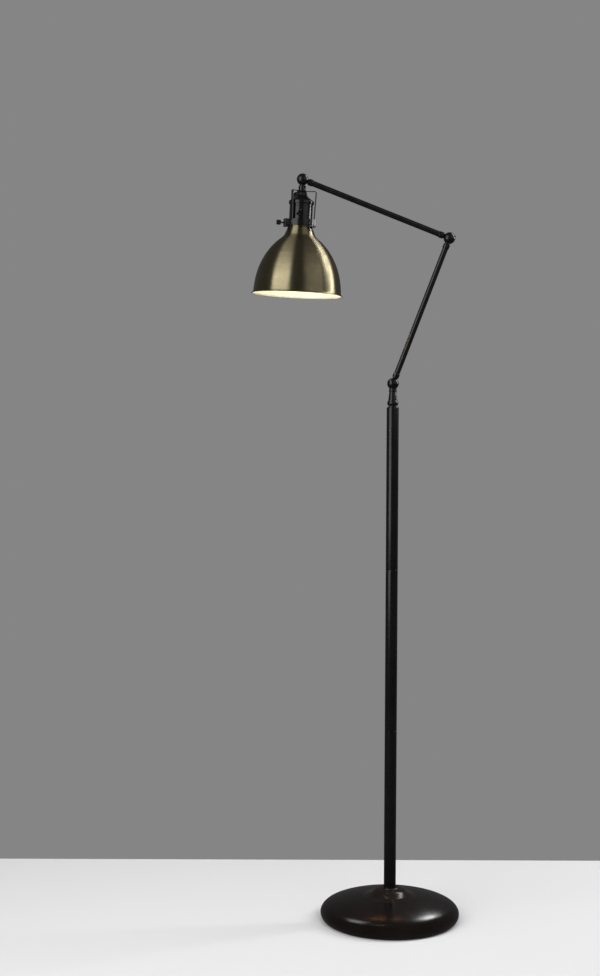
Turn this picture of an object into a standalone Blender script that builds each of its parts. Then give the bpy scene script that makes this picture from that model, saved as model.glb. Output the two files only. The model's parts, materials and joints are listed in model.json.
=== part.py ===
"""Adjustable arm floor lamp: a weighted round base, a three-section pole, a swivelling
post, two arms on slotted ball knuckles, and a brass bell shade in a strap holder.

Sizes below are in millimetres and angles in degrees; MM turns them into the scene's metres.
The origin is the centre of the base's underside, +Z is up, and the arms move in the XZ plane.
"""

import math

import bmesh
import bpy
from mathutils import Vector

MM = 0.001
GAP = 0.3  # clearance between neighbouring pieces

# Driving dimensions
POLE_R = 12.7
POLE_WALL = 1.2
POLE_FOOT_Z = 62.0
SECTION_LENGTH = 340.0
POLE_TOP_Z = POLE_FOOT_Z + 3 * SECTION_LENGTH
POST_HEIGHT = 49.0  # pole top to the lower knuckle's pivot
LOWER_ARM_LENGTH = 323.3  # pivot to pivot
UPPER_ARM_LENGTH = 328.0
LOWER_ARM_LEAN = 20.91  # from upright, towards +X
UPPER_ARM_LEAN = -68.55
HEAD_LEAN = 2.6
ARM_R = 6.0
ARM_WALL = 1.0
LEAD_R = 2.4

# Base
DOME_TOP_Z = 53.2
DOME_SPHERE_R = 430.0
EDGE_CENTRE_R = 117.0
EDGE_CENTRE_Z = 14.1
EDGE_WIDTH = 29.6
EDGE_HEIGHT = 21.1
EDGE_START = 66.0
EDGE_END = -38.0
COVER_SHEET = 1.2
STUD_R = 6.2
STUD_BORE_R = 4.2
STUD_HOLE_R = STUD_R + 0.4
GLAND_Z = 11.0
GLAND_R = 5.2
HUB_FOOT_R = 56.0

# Slotted ball knuckles: pivot at the local origin, slot open towards +Z, shank towards -Z
BALL_R = 12.5
SLOT_FRONT = -2.5
SLOT_BACK = 3.6
SLOT_SWING = 118.0  # half of the swing that the slot leaves for the tang
TANG_EYE_R = 6.8
TANG_HALF_WIDTH = 4.75
TANG_THICKNESS = 4.4
SHANK_R = 4.3
SHANK_END = 32.0
PIVOT_R = 2.5
PIVOT_HEAD_R = 4.3
FERRULE_R = 7.0
FERRULE_START = 13.2
FERRULE_END = 23.4
TUBE_START = 15.6
LOCK_SCREW_R = 1.3
SPINDLE_R = 5.8

# Head, measured down the stem's axis from the head pivot
STEM_R = 7.6
STRAP_TOP = 24.0
STRAP_THICKNESS = 1.4
STRAP_WIDTH = 6.0
STRAP_OUT_TOP = 31.2
STRAP_OUT_FOOT = 28.8
STRAP_FOOT = 95.0
STRAP_AZIMUTHS = {"right": -13.0, "front": -129.0, "back": 118.0}
RIVET_R = 1.3
RIVET_DEPTH = 90.0
CAP_SHEET = 1.0
SHELL_R = 24.1
SHELL_TOP = 47.5
SHELL_FOOT = 90.0
SWITCH_DEPTH = 71.0
KEY_TURN = 32.0
KEY_AZIMUTH = -7.0
KEY_SHAFT_R = 2.4
RING_R = 27.0
RING_WALL = 1.0
RING_TOP = 84.0
RING_FOOT = 97.0
CLAMP_AZIMUTH = -38.0
THUMBSCREW_AZIMUTH = -165.0
LUG_OUT = 35.2
LUG_WIDTH = 16.0
LUG_TOP = 83.2
LUG_FOOT = 99.8
LUG_SCREW_DEPTH = 91.8
THUMBSCREW_R = 1.7
CLAMP_SCREW_R = 1.6
CLAMP_SCREW_OUT = 31.0
SHADE_NECK_R = 25.5
SHADE_RIM_R = 95.2
SHADE_RIM = 239.2
SHADE_SHEET = 1.0
BULB_CAP_TOP = 76.0
BULB_GLASS_TOP = 98.0
BULB_R = 30.0
BULB_CENTRE = 153.0


# ---------------------------------------------------------------- scene and materials


def clear_scene():
    for obj in list(bpy.data.objects):
        bpy.data.objects.remove(obj, do_unlink=True)


def new_collection(name):
    collection = bpy.data.collections.new(name)
    bpy.context.scene.collection.children.link(collection)
    return collection


def make_material(name, color, roughness, metallic):
    material = bpy.data.materials.new(name)
    material.use_nodes = True
    shader = material.node_tree.nodes["Principled BSDF"]
    shader.inputs["Base Color"].default_value = (*color, 1.0)
    shader.inputs["Roughness"].default_value = roughness
    shader.inputs["Metallic"].default_value = metallic
    material.diffuse_color = (*color, 1.0)
    return material


clear_scene()
LAMP = new_collection("adjustable_arm_floor_lamp")
CUTTERS = new_collection("cutters")

BRONZE = make_material("bronze_black_paint", (0.022, 0.020, 0.019), 0.32, 0.6)
CAST_IRON = make_material("cast_iron", (0.09, 0.09, 0.095), 0.75, 0.7)
STEEL = make_material("zinc_plated_steel", (0.55, 0.55, 0.53), 0.4, 1.0)
BRASS = make_material("antique_brass", (0.42, 0.35, 0.17), 0.33, 1.0)
PLAIN_BRASS = make_material("plain_brass", (0.72, 0.55, 0.27), 0.35, 1.0)
RUBBER = make_material("black_rubber", (0.02, 0.02, 0.02), 0.8, 0.0)
FELT = make_material("felt", (0.03, 0.03, 0.032), 0.95, 0.0)
PHENOLIC = make_material("phenolic", (0.05, 0.04, 0.035), 0.5, 0.0)
LINER = make_material("fibre_liner", (0.35, 0.26, 0.16), 0.9, 0.0)
CORD = make_material("cord_jacket", (0.02, 0.02, 0.02), 0.6, 0.0)
GLASS = make_material("frosted_glass", (0.95, 0.93, 0.88), 0.5, 0.0)


# ---------------------------------------------------------------- modelling helpers


def frame(name, parent, location=(0, 0, 0), lean=0.0):
    """An empty on a joint's axis, leaning about Y from its parent."""
    empty = bpy.data.objects.new(name, None)
    empty.empty_display_size = 0.02
    empty.parent = parent
    empty.location = Vector(location) * MM
    empty.rotation_euler = (0, math.radians(lean), 0)
    LAMP.objects.link(empty)
    return empty


def place(obj, parent, material, location=(0, 0, 0), rotation=(0, 0, 0)):
    """Puts a finished piece in the lamp, in its body's frame."""
    obj.parent = parent
    obj.location = Vector(location) * MM
    obj.rotation_euler = [math.radians(angle) for angle in rotation]
    obj.data.materials.clear()
    obj.data.materials.append(material)
    return obj


def add_object(name, data, collection=None):
    obj = bpy.data.objects.new(name, data)
    (collection or LAMP).objects.link(obj)
    return obj


def as_cutter(obj, parent=None, location=(0, 0, 0), rotation=(0, 0, 0)):
    """Hides a helper solid from renders and draws it as wire."""
    for collection in list(obj.users_collection):
        collection.objects.unlink(obj)
    CUTTERS.objects.link(obj)
    obj.hide_render = True
    obj.display_type = "WIRE"
    obj.parent = parent
    obj.location = Vector(location) * MM
    obj.rotation_euler = [math.radians(angle) for angle in rotation]
    return obj


def arc(centre, radii, start, end, count):
    """Points on an ellipse from one angle to another, in degrees."""
    points = []
    for step in range(count + 1):
        angle = math.radians(start + (end - start) * step / count)
        points.append(
            (centre[0] + radii[0] * math.cos(angle), centre[1] + radii[1] * math.sin(angle))
        )
    return points


def clockwise(outline):
    """The outline in the order that faces a turned surface outwards."""
    area = 0.0
    for (r0, z0), (r1, z1) in zip(outline, outline[1:] + outline[:1]):
        area += r0 * z1 - r1 * z0
    return outline if area < 0 else outline[::-1]


def turned(name, outline, steps=32):
    """A solid of revolution about Z from (radius, height) points. It is solid to the
    axis when both ends of the outline are on it, and a closed ring otherwise."""
    outline = clockwise(list(outline))
    on_axis = [index for index, point in enumerate(outline) if point[0] == 0]
    if on_axis:
        ring_start = max(on_axis) if set(on_axis) != {0, len(outline) - 1} else 0
        outline = outline[ring_start:] + outline[:ring_start]
    mesh = bpy.data.meshes.new(name)
    edges = [(i, i + 1) for i in range(len(outline) - 1)]
    if not on_axis:
        edges.append((len(outline) - 1, 0))
    mesh.from_pydata([(r * MM, 0, z * MM) for r, z in outline], edges, [])
    obj = add_object(name, mesh)
    screw = obj.modifiers.new("turn", "SCREW")
    screw.axis = "Z"
    screw.steps = steps
    screw.render_steps = steps
    screw.use_merge_vertices = True
    screw.merge_threshold = 0.00001
    screw.use_smooth_shade = True
    return obj


def meshed(obj):
    """The evaluated object as a plain mesh object of the same name, its caps welded."""
    bpy.context.view_layer.update()
    name = obj.name
    graph = bpy.context.evaluated_depsgraph_get()
    mesh = bpy.data.meshes.new_from_object(obj.evaluated_get(graph))
    matrix = obj.matrix_world.copy()
    bpy.data.objects.remove(obj, do_unlink=True)
    shape = bmesh.new()
    shape.from_mesh(mesh)
    bmesh.ops.remove_doubles(shape, verts=shape.verts, dist=0.000001)
    bmesh.ops.recalc_face_normals(shape, faces=shape.faces)
    shape.to_mesh(mesh)
    shape.free()
    solid = add_object(name, mesh)
    solid.matrix_world = matrix
    return solid


def plate(name, outline, thickness):
    """A flat plate with this XY outline, centred on Z = 0."""
    curve = bpy.data.curves.new(name, "CURVE")
    curve.dimensions = "2D"
    curve.fill_mode = "BOTH"
    curve.extrude = thickness * MM / 2
    spline = curve.splines.new("POLY")
    spline.points.add(len(outline) - 1)
    for point, (x, y) in zip(spline.points, outline):
        point.co = (x * MM, y * MM, 0, 1)
    spline.use_cyclic_u = True
    return meshed(add_object(name, curve))


def tube(name, route, radius):
    """A round lead along a route of points."""
    curve = bpy.data.curves.new(name, "CURVE")
    curve.dimensions = "3D"
    curve.bevel_depth = radius * MM
    curve.bevel_resolution = 2
    curve.use_fill_caps = True
    spline = curve.splines.new("POLY")
    spline.points.add(len(route) - 1)
    for point, place_mm in zip(spline.points, route):
        point.co = (*(Vector(place_mm) * MM), 1)
    return add_object(name, curve)


def cylinder(name, radius, low, high, sides=24):
    """A cylinder along Z between two heights."""
    shape = bmesh.new()
    bmesh.ops.create_cone(
        shape,
        cap_ends=True,
        segments=sides,
        radius1=radius * MM,
        radius2=radius * MM,
        depth=(high - low) * MM,
    )
    bmesh.ops.translate(shape, verts=shape.verts, vec=(0, 0, (low + high) / 2 * MM))
    mesh = bpy.data.meshes.new(name)
    shape.to_mesh(mesh)
    shape.free()
    return add_object(name, mesh)


def block(name, low, high):
    """A box between two corners."""
    shape = bmesh.new()
    bmesh.ops.create_cube(shape, size=1)
    size = (Vector(high) - Vector(low)) * MM
    bmesh.ops.scale(shape, verts=shape.verts, vec=size)
    bmesh.ops.translate(shape, verts=shape.verts, vec=(Vector(high) + Vector(low)) / 2 * MM)
    mesh = bpy.data.meshes.new(name)
    shape.to_mesh(mesh)
    shape.free()
    return add_object(name, mesh)


def combine(obj, helper, operation):
    modifier = obj.modifiers.new(helper.name, "BOOLEAN")
    modifier.operation = operation
    modifier.solver = "EXACT"
    modifier.object = helper
    return obj


def cut(obj, helper, parent=None, location=(0, 0, 0), rotation=(0, 0, 0)):
    return combine(obj, as_cutter(helper, parent, location, rotation), "DIFFERENCE")


def join(obj, helper, parent=None, location=(0, 0, 0), rotation=(0, 0, 0)):
    return combine(obj, as_cutter(helper, parent, location, rotation), "UNION")


def offset_outline(points, distance):
    """An open outline that runs from top to bottom, moved inwards by a distance."""
    moved = []
    for index, point in enumerate(points):
        before = points[max(index - 1, 0)]
        after = points[min(index + 1, len(points) - 1)]
        along = Vector((after[0] - before[0], after[1] - before[1])).normalized()
        moved.append((point[0] + along.y * distance, point[1] - along.x * distance))
    return moved


def sheet(outer, thickness):
    """The closed outline of a sheet whose outer face runs from top to bottom."""
    return outer + offset_outline(outer, thickness)[::-1]


def sleeve(inner_r, outer_r, low, high, chamfer=0.0):
    """A tube's outline, with its outer ends broken by a chamfer if there is one."""
    if chamfer == 0:
        return [(inner_r, high), (outer_r, high), (outer_r, low), (inner_r, low)]
    return [
        (inner_r, high),
        (outer_r - chamfer, high),
        (outer_r, high - chamfer),
        (outer_r, low + chamfer),
        (outer_r - chamfer, low),
        (inner_r, low),
    ]


def around(azimuth, radius, height):
    """A point about the Z axis."""
    angle = math.radians(azimuth)
    return (radius * math.cos(angle), radius * math.sin(angle), height)


# ---------------------------------------------------------------- frames on the joints

stand = frame("stand_frame", None)
post = frame("post_frame", stand, (0, 0, POLE_TOP_Z))
lower_arm = frame("lower_arm_frame", post, (0, 0, POST_HEIGHT), LOWER_ARM_LEAN)
upper_arm = frame(
    "upper_arm_frame", lower_arm, (0, 0, LOWER_ARM_LENGTH), UPPER_ARM_LEAN - LOWER_ARM_LEAN
)
head = frame("head_frame", upper_arm, (0, 0, UPPER_ARM_LENGTH), HEAD_LEAN - UPPER_ARM_LEAN)
switch_axis = frame("switch_frame", head, (0, 0, -SWITCH_DEPTH))
thumbscrew_axis = frame("thumbscrew_frame", head, (0, 0, -LUG_SCREW_DEPTH))
bpy.context.view_layer.update()


# ---------------------------------------------------------------- base


def dome_z(radius):
    """Height of the cover's dome above a radius."""
    drop = DOME_SPHERE_R - math.sqrt(DOME_SPHERE_R**2 - radius**2)
    return DOME_TOP_Z - drop


def build_base():
    pad = turned("base_pad", [(0, 2.0), (135.0, 2.0), (135.0, 0), (0, 0)], 36)
    place(pad, stand, FELT)

    pocket_r, pocket_z, rim_r, top_z, boss_z = 26.0, 20.0, 130.0, 22.0, 30.0
    weight_foot = 2.3
    weight = turned(
        "base_weight",
        [
            (STUD_HOLE_R, boss_z),
            (40.0, boss_z),
            (48.0, top_z),
            (rim_r - 8.0, top_z),
            (rim_r, top_z - 8.0),
            (rim_r, weight_foot),
            (pocket_r, weight_foot),
            (pocket_r, pocket_z),
            (STUD_HOLE_R, pocket_z),
        ],
        28,
    )
    cut(weight, block("cord_channel", (-4.0, 20.0, -1.0), (4.0, rim_r + 5, GLAND_Z + 3.6)))
    place(weight, stand, CAST_IRON)

    dome = [(r, dome_z(r)) for r in (STUD_HOLE_R + 0.4, 60.0, 100.0)]
    edge = arc(
        (EDGE_CENTRE_R, EDGE_CENTRE_Z), (EDGE_WIDTH, EDGE_HEIGHT), EDGE_START, EDGE_END, 6
    )
    cover = turned("base_cover", sheet(dome + edge, COVER_SHEET), 40)
    hole = cylinder("gland_hole", GLAND_R + GAP, 130.0, 160.0)
    cut(cover, hole, None, (0, 0, GLAND_Z), (-90, 0, 0))
    place(cover, stand, BRONZE)

    bore_r, inner_end, wall_y, flange_y, flange_r = 2.9, 138.5, 147.0, 148.8, 7.4
    gland = turned(
        "cord_gland",
        [
            (bore_r, flange_y),
            (flange_r - 1.0, flange_y),
            (flange_r, flange_y - 0.8),
            (flange_r, wall_y),
            (GLAND_R, wall_y),
            (GLAND_R, inner_end),
            (bore_r, inner_end),
        ],
        16,
    )
    place(gland, stand, RUBBER, (0, 0, GLAND_Z), (-90, 0, 0))

    stud_foot, stud_top = 11.8, 96.0
    stud = turned("base_stud", sleeve(STUD_BORE_R, STUD_R, stud_foot, stud_top), 16)
    place(stud, stand, STEEL)
    washer = turned("base_washer", sleeve(STUD_HOLE_R, 13.0, 18.3, pocket_z - GAP), 16)
    place(washer, stand, STEEL)
    nut = cylinder("base_nut", 11.0, 12.6, 18.0, 6)
    cut(nut, cylinder("base_nut_bore", STUD_R + GAP, 10.0, 20.0, 20))
    place(nut, stand, STEEL)


def build_hub():
    seat_r, seat_z, top_z = POLE_R + GAP, POLE_FOOT_Z - 0.5, 68.3
    foot_gap = GAP + 0.1
    outline = [
        (seat_r, top_z),
        (17.2, top_z),
        (18.4, 66.8),
        (25.0, 66.1),
        (31.0, 63.8),
        (36.0, 59.0),
        (42.0, 54.6),
        (49.0, 51.7),
        (HUB_FOOT_R, 50.5),
        (HUB_FOOT_R, dome_z(HUB_FOOT_R) + foot_gap),
        (STUD_HOLE_R, dome_z(STUD_HOLE_R) + foot_gap),
        (STUD_HOLE_R, seat_z),
        (seat_r, seat_z),
    ]
    place(turned("pole_hub", outline, 28), stand, BRONZE)


# ---------------------------------------------------------------- pole


def build_pole():
    inner_r = POLE_R - POLE_WALL
    plug_r = inner_r - 0.4
    for number, name in enumerate(("pole_lower", "pole_middle", "pole_upper")):
        low = POLE_FOOT_Z + number * SECTION_LENGTH + GAP / 2
        high = low + SECTION_LENGTH - GAP
        place(turned(name, sleeve(inner_r, POLE_R, low, high, 0.5), 24), stand, BRONZE)
    for number, name in enumerate(("coupler_lower", "coupler_upper"), start=1):
        seam = POLE_FOOT_Z + number * SECTION_LENGTH
        ring = turned(name, sleeve(4.5, plug_r, seam - 24.0, seam + 24.0), 16)
        place(ring, stand, STEEL)
    plug = sleeve(STUD_HOLE_R, plug_r, POLE_FOOT_Z + 0.4, POLE_FOOT_Z + 30.0)
    place(turned("pole_foot_plug", plug, 16), stand, STEEL)

    boss_r, boss_top, plug_top, plug_foot = 9.4, 2.8, 0.0, -24.0
    collar = [
        (SPINDLE_R + GAP, boss_top),
        (boss_r, boss_top),
        (boss_r, plug_top + 0.3),
        (plug_r, plug_top),
        (plug_r, plug_foot),
        (SPINDLE_R + GAP, plug_foot),
    ]
    place(turned("pole_collar", collar, 16), stand, BRONZE, (0, 0, POLE_TOP_Z))


def build_inner_cord():
    """The mains lead inside the lamp, from the gland under the weight and up the pole."""
    low_z, bend_r, cord_end = 5.0, 12.0, POLE_TOP_Z - 42.0
    bend_z = low_z + bend_r
    route = [(0, 147.5, GLAND_Z), (0, 138.0, GLAND_Z), (0, 128.0, 9.6), (0, 114.0, 6.6)]
    route += [(0, 100.0, low_z), (0, 56.0, low_z)]
    route += [(0, y, z) for y, z in arc((bend_r, bend_z), (bend_r, bend_r), 270, 180, 5)]
    route += [(0, 0, POLE_FOOT_Z + 40.0), (0, 0, POLE_FOOT_Z + SECTION_LENGTH)]
    route += [(0, 0, POLE_FOOT_Z + 2 * SECTION_LENGTH), (0, 0, cord_end)]
    place(tube("inner_cord", route, LEAD_R), stand, CORD)


# ---------------------------------------------------------------- knuckles

def knuckle_slot(name):
    """The space that a tang sweeps in a ball, as a slab about the pivot's Y axis."""
    eye = TANG_EYE_R + GAP
    edge = TANG_HALF_WIDTH + GAP
    reach = BALL_R + 3.0
    side = SLOT_SWING - 90.0
    slope = math.radians(side)
    side_z = -(edge / math.cos(slope) + reach * math.tan(slope))
    turn = math.degrees(math.acos(edge / eye)) - side
    floor = arc((0, 0), (eye, eye), 270.0 - turn, 270.0 + turn, 4)
    outline = [(-reach, reach), (-reach, side_z)] + floor + [(reach, side_z), (reach, reach)]
    return plate(name, outline, SLOT_BACK - SLOT_FRONT)


def slotted_ball(name, parent, material, location, neck):
    """A ball with a slot for a tang, a pivot hole across it and a turned neck below,
    whose (radius, height) points run down from the ball to the axis."""
    first_r = neck[0][0]
    start = math.degrees(math.acos(first_r / BALL_R))
    outline = arc((0, 0), (BALL_R, BALL_R), 90.0, -start, 8) + neck[1:]
    outline[0] = (0, BALL_R)
    ball = turned(name, outline, 16)
    middle = (SLOT_FRONT + SLOT_BACK) / 2
    cut(ball, knuckle_slot(name + "_slot"), ball, (0, middle, 0), (90, 0, 0))
    pivot_hole = cylinder(name + "_pivot_hole", PIVOT_R + GAP, -20.0, 20.0, 12)
    cut(ball, pivot_hole, ball, (0, 0, 0), (90, 0, 0))
    head_hole = cylinder(name + "_head_hole", PIVOT_HEAD_R + GAP, -20.0, -8.2, 12)
    cut(ball, head_hole, ball, (0, 0, 0), (90, 0, 0))
    return place(ball, parent, material, location)


def lock_screw(name, ball, parent, location, direction):
    """A small screw across the ball's front cheek that stops the pivot from turning."""
    inner, outer, cheek_y = 4.6, BALL_R + 0.3, -6.2
    hole = cylinder(name + "_hole", LOCK_SCREW_R + GAP, inner - 0.5, outer + 5.0, 12)
    cut(ball, hole, ball, (0, cheek_y, 0), (0, direction, 0))
    screw = cylinder(name, LOCK_SCREW_R, inner, outer, 12)
    where = Vector(location) + Vector((0, cheek_y, 0))
    return place(screw, parent, BRONZE, where, (0, direction, 0))


def pivot_set(prefix, parent, location):
    """The pivot screw through a ball and the friction washer beside the tang."""
    head_y, tip_y, end_y = 8.5, -10.8, 11.2
    screw = turned(
        prefix + "_pivot_screw",
        [
            (0, end_y),
            (PIVOT_HEAD_R - 0.6, end_y),
            (PIVOT_HEAD_R, end_y - 0.6),
            (PIVOT_HEAD_R, head_y),
            (PIVOT_R, head_y),
            (PIVOT_R, tip_y),
            (0, tip_y),
        ],
        12,
    )
    slot = block(prefix + "_screw_slot", (-0.6, -6.0, end_y - 1.2), (0.6, 6.0, end_y + 2.0))
    cut(screw, slot, screw)
    place(screw, parent, STEEL, location, (-90, 35, 0))
    thickness, side = 0.7, TANG_THICKNESS / 2 + GAP
    washer = turned(
        prefix + "_friction_washer",
        sleeve(PIVOT_R + GAP, 6.0, side, side + thickness),
        12,
    )
    place(washer, parent, PLAIN_BRASS, location, (-90, 0, 0))


def tang(name, parent, location, turn):
    """A flat tongue with a pivot eye and a round shank, reaching along +Z before its turn."""
    flat_end = FERRULE_START - GAP
    corner = math.degrees(math.asin(TANG_HALF_WIDTH / TANG_EYE_R))
    outline = arc((0, 0), (TANG_EYE_R, TANG_EYE_R), 90.0 + corner, 450.0 - corner, 10)
    outline += [(TANG_HALF_WIDTH, flat_end), (-TANG_HALF_WIDTH, flat_end)]
    tongue = plate(name, outline, TANG_THICKNESS)
    cut(tongue, cylinder(name + "_eye", PIVOT_R + GAP, -10.0, 10.0, 12), tongue)
    shank = cylinder(name + "_shank", SHANK_R, flat_end - 0.4, SHANK_END, 12)
    join(tongue, shank, tongue, (0, 0, 0), (-90, 0, 0))
    return place(tongue, parent, BRONZE, location, (90, turn, 0))


def ferrule(name, parent, location, turn):
    """The turned collar where an arm's tube meets its knuckle, along +Z before its turn."""
    outline = [
        (SHANK_R + 0.6, FERRULE_START),
        (FERRULE_R - 0.9, FERRULE_START),
        (FERRULE_R, FERRULE_START + 0.9),
        (FERRULE_R, FERRULE_END - 2.2),
        (ARM_R + 0.7, FERRULE_END),
        (ARM_R + GAP, FERRULE_END),
        (ARM_R + GAP, TUBE_START - 0.4),
        (SHANK_R + 0.6, TUBE_START - 0.4),
    ]
    return place(turned(name, outline, 16), parent, BRONZE, location, (0, turn, 0))


def arm_tube(name, parent, length):
    outline = sleeve(ARM_R - ARM_WALL + 0.1, ARM_R, TUBE_START, length - TUBE_START)
    place(turned(name, outline, 16), parent, BRONZE)


def arm_lead(name, parent, length):
    clear = SHANK_END + 4.0
    place(tube(name, [(0, 0, clear), (0, 0, length - clear)], LEAD_R), parent, CORD)


def shank_neck():
    """The neck of a ball that is screwed into an arm's end."""
    neck_r = 5.4
    return [
        (neck_r, -math.sqrt(BALL_R**2 - neck_r**2)),
        (neck_r, 0.3 - FERRULE_START),
        (SHANK_R, 0.0 - FERRULE_START),
        (SHANK_R, -SHANK_END),
        (0, -SHANK_END),
    ]


# ---------------------------------------------------------------- swivelling post


def build_post():
    neck = [
        (7.8, -math.sqrt(BALL_R**2 - 7.8**2)),
        (7.8, 34.9 - POST_HEIGHT),
        (8.7, 34.4 - POST_HEIGHT),
        (8.7, 32.6 - POST_HEIGHT),
        (7.6, 31.6 - POST_HEIGHT),
        (8.3, 25.4 - POST_HEIGHT),
        (9.0, 18.6 - POST_HEIGHT),
    ]
    bead = arc((4.5, 8.6), (7.3, 7.6), 47, -46, 6)
    neck += [(r, z - POST_HEIGHT) for r, z in bead]
    spindle_foot = -33.0
    neck += [
        (SPINDLE_R, 3.1 - POST_HEIGHT),
        (SPINDLE_R, spindle_foot - POST_HEIGHT),
        (0, spindle_foot - POST_HEIGHT),
    ]
    pivot = (0, 0, POST_HEIGHT)
    body = slotted_ball("swivel_post", post, BRONZE, pivot, neck)
    bore = cylinder("swivel_post_bore", 3.2, spindle_foot - POST_HEIGHT - 5.0, -3.0, 16)
    cut(body, bore, body)
    pivot_set("lower", post, pivot)
    lock_screw("lower_lock_screw", body, post, pivot, -67.0)

    nut = cylinder("post_nut", 9.2, -31.0, -25.0, 6)
    cut(nut, cylinder("post_nut_bore", SPINDLE_R + GAP, -40.0, -20.0, 20), nut)
    place(nut, post, STEEL)


# ---------------------------------------------------------------- arms


def build_arms():
    top = (0, 0, LOWER_ARM_LENGTH)
    tang("lower_arm_tang", lower_arm, (0, 0, 0), 0)
    ferrule("lower_arm_foot_ferrule", lower_arm, (0, 0, 0), 0)
    arm_tube("lower_arm_tube", lower_arm, LOWER_ARM_LENGTH)
    ferrule("lower_arm_top_ferrule", lower_arm, top, 180)
    arm_lead("lower_arm_lead", lower_arm, LOWER_ARM_LENGTH)
    elbow = slotted_ball("elbow_ball", lower_arm, BRONZE, top, shank_neck())
    pivot_set("elbow", lower_arm, top)
    lock_screw("elbow_lock_screw", elbow, lower_arm, top, 54.0)

    end = (0, 0, UPPER_ARM_LENGTH)
    tang("elbow_tang", upper_arm, (0, 0, 0), 0)
    ferrule("upper_arm_elbow_ferrule", upper_arm, (0, 0, 0), 0)
    arm_tube("upper_arm_tube", upper_arm, UPPER_ARM_LENGTH)
    ferrule("upper_arm_head_ferrule", upper_arm, end, 180)
    tang("head_tang", upper_arm, end, 180)
    arm_lead("upper_arm_lead", upper_arm, UPPER_ARM_LENGTH)


# ---------------------------------------------------------------- shade holder


def build_stem():
    shank_foot = -38.0
    neck = [
        (5.4, -math.sqrt(BALL_R**2 - 5.4**2)),
        (5.4, -12.6),
        (SHANK_R, -12.9),
        (SHANK_R, shank_foot),
        (0, shank_foot),
    ]
    slotted_ball("head_ball", head, BRONZE, (0, 0, 0), neck)
    pivot_set("head", head, (0, 0, 0))
    stem = sleeve(SHANK_R + 0.4, STEM_R, -(STRAP_TOP - GAP), -(BALL_R + 0.6), 0.5)
    place(turned("stem_sleeve", stem, 16), head, BRONZE)


def strap_outline():
    """Side view of one bent strap: (radius, height) points around its thickness."""
    bend = 4.0
    top = -STRAP_TOP
    lean = (STRAP_OUT_TOP - STRAP_OUT_FOOT) / (STRAP_FOOT - STRAP_TOP)
    corner = (STRAP_OUT_TOP - bend, top - bend)
    outer = [(8.0, top)] + arc(corner, (bend, bend), 90, 0, 3)
    outer.append((STRAP_OUT_TOP - lean * (STRAP_FOOT - STRAP_TOP), -STRAP_FOOT))
    return outer + offset_outline(outer, STRAP_THICKNESS)[::-1]


def build_strap_holder():
    top = -STRAP_TOP
    hub = turned(
        "strap_holder",
        sleeve(SHANK_R + 0.4, 10.5, top - STRAP_THICKNESS, top),
        16,
    )
    for side, azimuth in STRAP_AZIMUTHS.items():
        strap = plate("strap_" + side, strap_outline(), STRAP_WIDTH)
        hub = join(hub, strap, hub, (0, 0, 0), (90, 0, azimuth))
    for side, azimuth in STRAP_AZIMUTHS.items():
        hole = cylinder("strap_hole_" + side, RIVET_R + GAP, 20.0, 40.0, 12)
        cut(hub, hole, hub, (0, 0, -RIVET_DEPTH), (0, 90, azimuth))
    place(hub, head, BRONZE)
    for side, azimuth in STRAP_AZIMUTHS.items():
        rivet = turned(
            "strap_rivet_" + side,
            [
                (0, 30.4),
                (1.6, 30.2),
                (2.6, 29.2),
                (RIVET_R, 29.2),
                (RIVET_R, 25.9),
                (0, 25.9),
            ],
            10,
        )
        place(rivet, head, BRONZE, (0, 0, -RIVET_DEPTH), (0, 90, azimuth))


def lug(ring, name, azimuth):
    """A square boss on the fitter ring at an azimuth."""
    half = LUG_WIDTH / 2
    body = block(name, (RING_R - 1.4, -half, -LUG_FOOT), (LUG_OUT, half, -LUG_TOP))
    join(ring, body, ring, (0, 0, 0), (0, 0, azimuth))


def build_fitter_ring():
    ring = cylinder("fitter_ring", RING_R, -RING_FOOT, -RING_TOP, 28)
    lug(ring, "thumbscrew_lug", THUMBSCREW_AZIMUTH)
    lug(ring, "clamp_lug", CLAMP_AZIMUTH)
    bore = cylinder("fitter_bore", RING_R - RING_WALL, -LUG_FOOT - 5.0, -LUG_TOP + 5.0, 28)
    cut(ring, bore, ring)
    relief = cylinder("shade_relief", RING_R + 0.6, -LUG_FOOT - 5.0, -RING_FOOT - 0.5, 28)
    cut(ring, relief, ring)
    slit = block("clamp_slit", (15.0, -0.7, -LUG_FOOT - 5.0), (50.0, 0.7, -LUG_TOP + 5.0))
    cut(ring, slit, ring, (0, 0, 0), (0, 0, CLAMP_AZIMUTH))
    for side, azimuth in STRAP_AZIMUTHS.items():
        hole = cylinder("ring_hole_" + side, RIVET_R + GAP, 20.0, 28.0, 12)
        cut(ring, hole, ring, (0, 0, -RIVET_DEPTH), (0, 90, azimuth))
    thread = cylinder("thumbscrew_thread", THUMBSCREW_R + GAP, 20.0, 45.0, 12)
    cut(ring, thread, ring, (0, 0, -LUG_SCREW_DEPTH), (0, 90, THUMBSCREW_AZIMUTH))

    across = cylinder("clamp_screw_hole", CLAMP_SCREW_R + GAP, -5.6, 20.0, 12)
    centre = around(CLAMP_AZIMUTH, CLAMP_SCREW_OUT, -LUG_SCREW_DEPTH)
    cut(ring, across, ring, centre, (90, 0, CLAMP_AZIMUTH))
    place(ring, head, BRONZE)

    half = LUG_WIDTH / 2
    screw = turned(
        "clamp_screw",
        [
            (0, half + 2.0),
            (2.6, half + 1.9),
            (3.7, half + 1.2),
            (3.7, half + GAP),
            (CLAMP_SCREW_R, half + GAP),
            (CLAMP_SCREW_R, -5.0),
            (0, -5.0),
        ],
        14,
    )
    slot = block("clamp_screw_slot", (-5.0, -0.5, half + 1.0), (5.0, 0.5, half + 4.0))
    cut(screw, slot, screw)
    place(screw, head, BRONZE, centre, (90, 0, CLAMP_AZIMUTH))


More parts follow.
